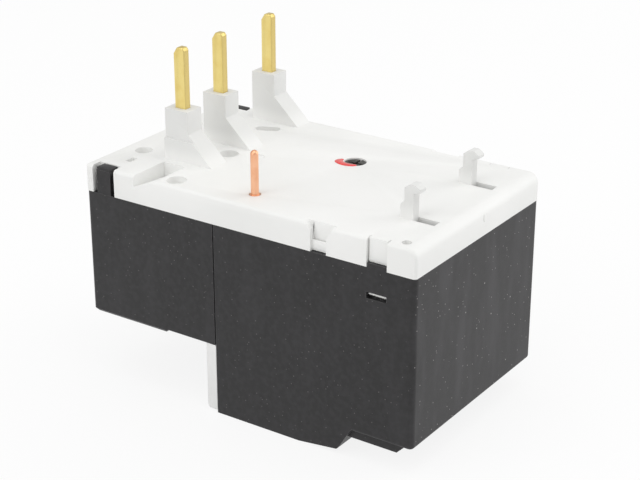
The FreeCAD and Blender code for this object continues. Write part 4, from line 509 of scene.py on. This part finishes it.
rolled_bimetal = drawn_metal("rolled_bimetal", (0.62, 0.60, 0.57), (0.50, 0.46, 0.42), (2.0, 0.3, 6.0), 0.28)
heater_alloy = drawn_metal("heater_alloy", (0.42, 0.38, 0.33), (0.26, 0.20, 0.17), (0.5, 0.5, 6.0), 0.42)
zinc_steel = drawn_metal("zinc_steel", (0.66, 0.67, 0.69), (0.55, 0.55, 0.54), (1.2, 1.2, 1.2), 0.26)
sleeve_glass = woven_glass("sleeve_glass")
for pole in (1, 2, 3):
    dress(rolled_bimetal, f"bimetal_{pole}")
    dress(heater_alloy, f"heater_{pole}")
    dress(sleeve_glass, f"insulating_sleeve_{pole}")
    dress(zinc_steel, f"strip_holder_{pole}")
dress(rolled_bimetal, "compensating_bimetal")


# ---- Terminals: zinc-plated cage clamps and clamp saddles, and cheese-head screws with a slot and a cross.
# Each row of screws is one run of the same turned screw, rolled and plated, seen through the driver holes.

dress(zinc_steel, "load_clamps", "clamp_saddles", "setting_lever", "setting_pivot_pin", "pivot_clips",
      "differential_lever")


def screw_row_tree():
    """A row of screws along X, their heads towards -Y."""
    tree = bpy.data.node_groups.new("screw_row", "GeometryNodeTree")
    sizes = {"Head Radius": 0.003, "Head Height": 0.002, "Shank Radius": 0.0015, "Shank Length": 0.005,
             "Pitch": 0.008}
    for name, value in sizes.items():
        socket = tree.interface.new_socket(name, in_out="INPUT", socket_type="NodeSocketFloat")
        socket.default_value = value
    tree.interface.new_socket("Count", in_out="INPUT", socket_type="NodeSocketInt")
    tree.interface.new_socket("Middle", in_out="INPUT", socket_type="NodeSocketVector")
    tree.interface.new_socket("Metal", in_out="INPUT", socket_type="NodeSocketMaterial")
    tree.interface.new_socket("Screws", in_out="OUTPUT", socket_type="NodeSocketGeometry")
    given = tree.nodes.new("NodeGroupInput").outputs
    head_r, head, shank_r, shank, pitch = (given[name] for name in sizes)

    def add(kind, settings, sockets):
        made = tree.nodes.new(kind)
        for name, value in settings.items():
            setattr(made, name, value)
        for name, value in sockets.items():
            for one in value if isinstance(value, list) else [value]:
                if isinstance(one, bpy.types.NodeSocket):
                    tree.links.new(one, made.inputs[name])
                else:
                    made.inputs[name].default_value = one
        return made.outputs[0]

    def number(operation, first, second):
        return add("ShaderNodeMath", {"operation": operation}, {0: first, 1: second})

    def times(first, second):
        return number("MULTIPLY", first, second)

    def vector(**parts):
        return add("ShaderNodeCombineXYZ", {}, parts)

    def turned_rod(radius, length, sides, middle):
        rod = add("GeometryNodeMeshCylinder", {}, {"Vertices": sides, "Radius": radius, "Depth": length})
        return add("GeometryNodeTransform", {},
                   {"Geometry": rod, "Rotation": (math.pi / 2, 0.0, 0.0), "Translation": vector(Y=middle)})

    def cutter(width, depth, height, turn):
        bar = add("GeometryNodeMeshCube", {}, {"Size": vector(X=width, Y=depth, Z=height)})
        return add("GeometryNodeTransform", {}, {"Geometry": bar, "Rotation": (0.0, turn, 0.0)})

    # the front face of the head is at y = 0
    head_disc = turned_rod(head_r, head, 48, times(head, 0.5))
    shank_rod = turned_rod(shank_r, shank, 32, number("ADD", head, times(shank, 0.5)))
    slot = cutter(times(head_r, 2.2), head, times(head_r, 0.26), 0.0)
    arms = [cutter(times(head_r, 1.05), times(head, 1.7), times(head_r, 0.22), turn)
            for turn in (math.pi / 4, -math.pi / 4)]
    solid = add("GeometryNodeMeshBoolean", {"operation": "UNION"}, {"Mesh 2": [head_disc, shank_rod]})
    screw = add("GeometryNodeMeshBoolean", {"operation": "DIFFERENCE"},
                {"Mesh 1": solid, "Mesh 2": [slot] + arms})
    # the row starts half its length to the left of its middle
    step = vector(X=pitch)
    gaps = number("SUBTRACT", given["Count"], 1.0)
    reach = add("ShaderNodeVectorMath", {"operation": "SCALE"}, {0: step, "Scale": times(gaps, -0.5)})
    start = add("ShaderNodeVectorMath", {"operation": "ADD"}, {0: given["Middle"], 1: reach})
    row = add("GeometryNodeMeshLine", {}, {"Count": given["Count"], "Start Location": start, "Offset": step})
    placed = add("GeometryNodeInstanceOnPoints", {}, {"Points": row, "Instance": screw})
    plain = add("GeometryNodeRealizeInstances", {}, {"Geometry": placed})
    plated = add("GeometryNodeSetMaterial", {}, {"Geometry": plain, "Material": given["Metal"]})
    tree.links.new(plated, tree.nodes.new("NodeGroupOutput").inputs[0])
    return tree


def grown(name, tree, values, edge):
    """The plain piece that a tree makes from these named values, with its edges broken."""
    seed = bpy.data.objects.new(name + "_seed", bpy.data.meshes.new(name + "_seed"))
    scene.collection.objects.link(seed)
    maker = seed.modifiers.new("maker", "NODES")
    maker.node_group = tree
    for item in tree.interface.items_tree:
        if item.in_out == "INPUT":
            maker[item.identifier] = values[item.name]
    round_edges(seed, edge, 2, 35)
    mesh = settled(seed)
    mesh.name = name
    bpy.data.objects.remove(seed)
    piece = bpy.data.objects.new(name, mesh)
    scene.collection.objects.link(piece)
    return piece


screw_steel = drawn_metal("screw_steel", (0.60, 0.61, 0.63), (0.50, 0.49, 0.46), (3.0, 3.0, 3.0), 0.22)
screw_rows = screw_row_tree()
for name, count, pitch, head_r, head, shank_r in (
        ("load_screws", 3, 13.6, 3.4, 2.4, 2.0), ("small_screws", 5, 8.4, 2.7, 1.6, 1.45)):
    low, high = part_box(name)
    middle = Vector(((low.x + high.x) / 2, low.y, (low.z + high.z) / 2))
    row = grown(f"{name}_cross_slotted", screw_rows, {
        "Head Radius": head_r * MM, "Head Height": head * MM, "Shank Radius": shank_r * MM,
        "Shank Length": high.y - low.y - head * MM, "Pitch": pitch * MM, "Count": count,
        "Middle": middle, "Metal": screw_steel}, 0.12 * MM)
    smooth_by_angle(row, 30)
    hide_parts(name)
    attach(row, "case")


# ---- Inner moulding and trip gear: acetal combs, lever and carrier on a dark inner frame.
# They run against each other dry, so they are moulded in slippery natural white.

dress(moulded_light("natural_acetal", (0.76, 0.75, 0.69), (0.72, 0.70, 0.64)), "main_slide",
      "differential_slide", "trip_lever", "contact_carrier")
dress(moulded_black("dark_frame"), "mechanism_base")

spring_wire = drawn_metal("spring_wire", (0.56, 0.56, 0.57), (0.45, 0.44, 0.43), (3.0, 3.0, 3.0), 0.24, 0.05)
dress(spring_wire, "reset_spring", "test_spring", "snap_spring")


# ---- Calibration screw: blackened steel, sunk in the plate and set at the works.
# A smear of red sealing lacquer over its rim shows that nobody has turned it since.

blackened_steel = drawn_metal("blackened_steel", (0.105, 0.104, 0.095), (0.07, 0.069, 0.064),
                              (3.0, 3.0, 3.0), 0.26)
screw_low, screw_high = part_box("calibration_screw")
pivot_x, pivot_y = (screw_low.x + screw_high.x) / 2, (screw_low.y + screw_high.y) / 2
sunk, slot_floor, half_width, half_length = 0.25 * MM, 0.9 * MM, 0.3 * MM, 1.5 * MM
turned = merged("calibration_screw")
for corner in turned.verts:
    if corner.co.z > face - 0.05 * MM:
        corner.co.z -= sunk
cross = bmesh.new()
prism(cross, 2, rectangle((pivot_x - half_width, pivot_x + half_width),
                          (pivot_y - half_length, pivot_y + half_length)), face - slot_floor, above)
screw = finished("calibration_screw_sunk", turned, blackened_steel,
                 [("DIFFERENCE", piece_of("cross_slot", cross))], 0.08, 2)
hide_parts("calibration_screw")


def sealing_lacquer_finish():
    finish = Finish("sealing_lacquer", Coat_Roughness=0.08, Roughness=0.25, IOR=1.5)
    pooled = finish.cloud(finish.place(), 0.9, 3.0)
    return finish.feed(
        Base_Color=finish.mix(finish.ramp(pooled, 0.3, 0.7), (0.86, 0.055, 0.045), (0.70, 0.03, 0.03)),
        Coat_Weight=0.6 + 0.4 * pooled,
        Normal=finish.relief(pooled, 0.05, 0.1))


# the brush laid the smear from the plate round to the screw's rim: place off the screw and half width
smear = bmesh.new()
rings = []
for x, y, wide in ((0.0, -2.75, 0.5), (0.75, -3.1, 1.0), (1.5, -2.9, 1.35), (2.05, -2.1, 1.3),
                   (2.3, -1.1, 1.2), (2.2, 0.0, 1.05), (1.85, 0.85, 0.8), (1.4, 1.3, 0.4)):
    place = Vector((pivot_x + x * MM, pivot_y + y * MM, face))
    out = Vector((x, y, 0.0)).normalized() * wide * MM
    up = Vector((0.0, 0.0, (0.12 + 0.16 * wide) * MM))
    rings.append([smear.verts.new(place + shift) for shift in (out, up, -out, -0.7 * up)])
for here, following in zip(rings, rings[1:]):
    for turn in range(4):
        after = (turn + 1) % 4
        smear.faces.new((here[turn], here[after], following[after], following[turn]))
smear.faces.new(rings[0])
smear.faces.new(rings[-1])
cage = piece_of("smear_cage", smear)
cage.modifiers.new("smooth", "SUBSURF").levels = 3
flowed = bmesh.new()
flowed.from_object(cage, bpy.context.evaluated_depsgraph_get())
bpy.data.objects.remove(cage)
lacquer = finished("lacquer_smear", flowed, sealing_lacquer_finish())
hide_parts("sealing_lacquer")


# ---- Controls on the front face: setting dial, blue reset button, red test button and yellow trip flag.
# All are injection moulded and glossy from the polished mould, with a few rub marks.

def polished_plastic(name, colour, worn):
    finish = Finish(name, IOR=1.5)
    rub = finish.cloud(finish.place((0.4, 1.0, 3.0)), 1.0, 4.0)
    return finish.feed(
        Base_Color=finish.mix(finish.ramp(rub, 0.5, 0.85, 0.0, 0.35), colour, worn),
        Roughness=0.22 + 0.18 * rub,
        Normal=finish.relief(finish.cloud(finish.place(), 2.0), 0.01, 0.2))


dress(polished_plastic("dial_plastic", (0.72, 0.72, 0.70), (0.66, 0.65, 0.62)), "current_dial")
dress(polished_plastic("reset_blue", (0.035, 0.13, 0.45), (0.06, 0.17, 0.46)), "reset_button")
dress(polished_plastic("test_red", (0.62, 0.035, 0.03), (0.55, 0.06, 0.05)), "test_button")
dress(polished_plastic("flag_yellow", (0.82, 0.60, 0.04), (0.74, 0.55, 0.08)), "trip_flag")


# ---- Camera and studio: a long lens from behind and to the right, a pale table and large soft lamps.
# The room and the table are white to the lens, and dimmer to the relay, so that it keeps its own tones.

azimuth, elevation, distance = math.radians(124.341), math.radians(23.322), 0.3287
aim = Vector((-0.0026, 0.00125, 0.0291))
back = Vector((math.sin(azimuth) * math.cos(elevation), -math.cos(azimuth) * math.cos(elevation),
               math.sin(elevation)))


def look_along(holder, place, direction):
    """Puts a camera or a lamp in its place, turned to look in that direction."""
    scene.collection.objects.link(holder)
    holder.location = place
    holder.rotation_mode = "QUATERNION"
    holder.rotation_quaternion = direction.to_track_quat("-Z", "Y")


camera = bpy.data.objects.new("camera", bpy.data.cameras.new("camera"))
camera.data.lens = 94.22
camera.data.clip_start = 0.01
look_along(camera, aim + back * distance, -back)
scene.camera = camera

for name, place, width, power in (("overhead", Vector((0.10, 0.10, 0.80)), 0.70, 2.0),
                                  ("left_rear", Vector((-0.60, 0.55, 0.35)), 0.60, 2.2),
                                  ("right_front", Vector((0.75, -0.30, 0.45)), 0.60, 1.7)):
    lamp = bpy.data.objects.new(name, bpy.data.lights.new(name, "AREA"))
    lamp.data.size = width
    lamp.data.energy = power
    look_along(lamp, place, aim - place)


def grey(level):
    return (level, level, level, 1.0)


table_reach = (-6.0, 6.0)
table = bpy.data.objects.new("table", bpy.data.meshes.new("table"))
corners = [(x, y, 0.0) for x, y in rectangle(table_reach, table_reach)]
table.data.from_pydata(corners, [], [(0, 1, 2, 3)])
scene.collection.objects.link(table)
surface = Finish("pale_table", Base_Color=grey(0.88), Roughness=0.8)
camera_ray, glossy_ray, clear_ray = (surface.node("LightPath", {}, {}, f"Is {kind} Ray")
                                     for kind in ("Camera", "Glossy", "Transmission"))
glow = surface.node("Emission", {}, {"Color": grey(1.0), "Strength": 1.0})
lit = surface.node("MixShader", {}, {0: (camera_ray + glossy_ray + clear_ray) * 0.86, 2: glow})
surface.tree.links.new(surface.shader.outputs[0], lit.socket.node.inputs[1])
surface.tree.links.new(lit.socket, surface.tree.nodes["Material Output"].inputs["Surface"])
table.data.materials.append(surface.material)

world = bpy.data.worlds.new("studio")
scene.world = world
world.use_nodes = True
tree = world.node_tree
path = tree.nodes.new("ShaderNodeLightPath")
backdrop = tree.nodes["Background"]
room = tree.nodes.new("ShaderNodeBackground")
room.inputs["Strength"].default_value = 0.68
for light in (backdrop, room):
    light.inputs["Color"].default_value = grey(1.0)
seen = tree.nodes.new("ShaderNodeMixShader")
tree.links.new(path.outputs["Is Camera Ray"], seen.inputs[0])
tree.links.new(room.outputs[0], seen.inputs[1])
tree.links.new(backdrop.outputs[0], seen.inputs[2])
tree.links.new(seen.outputs[0], tree.nodes["World Output"].inputs["Surface"])
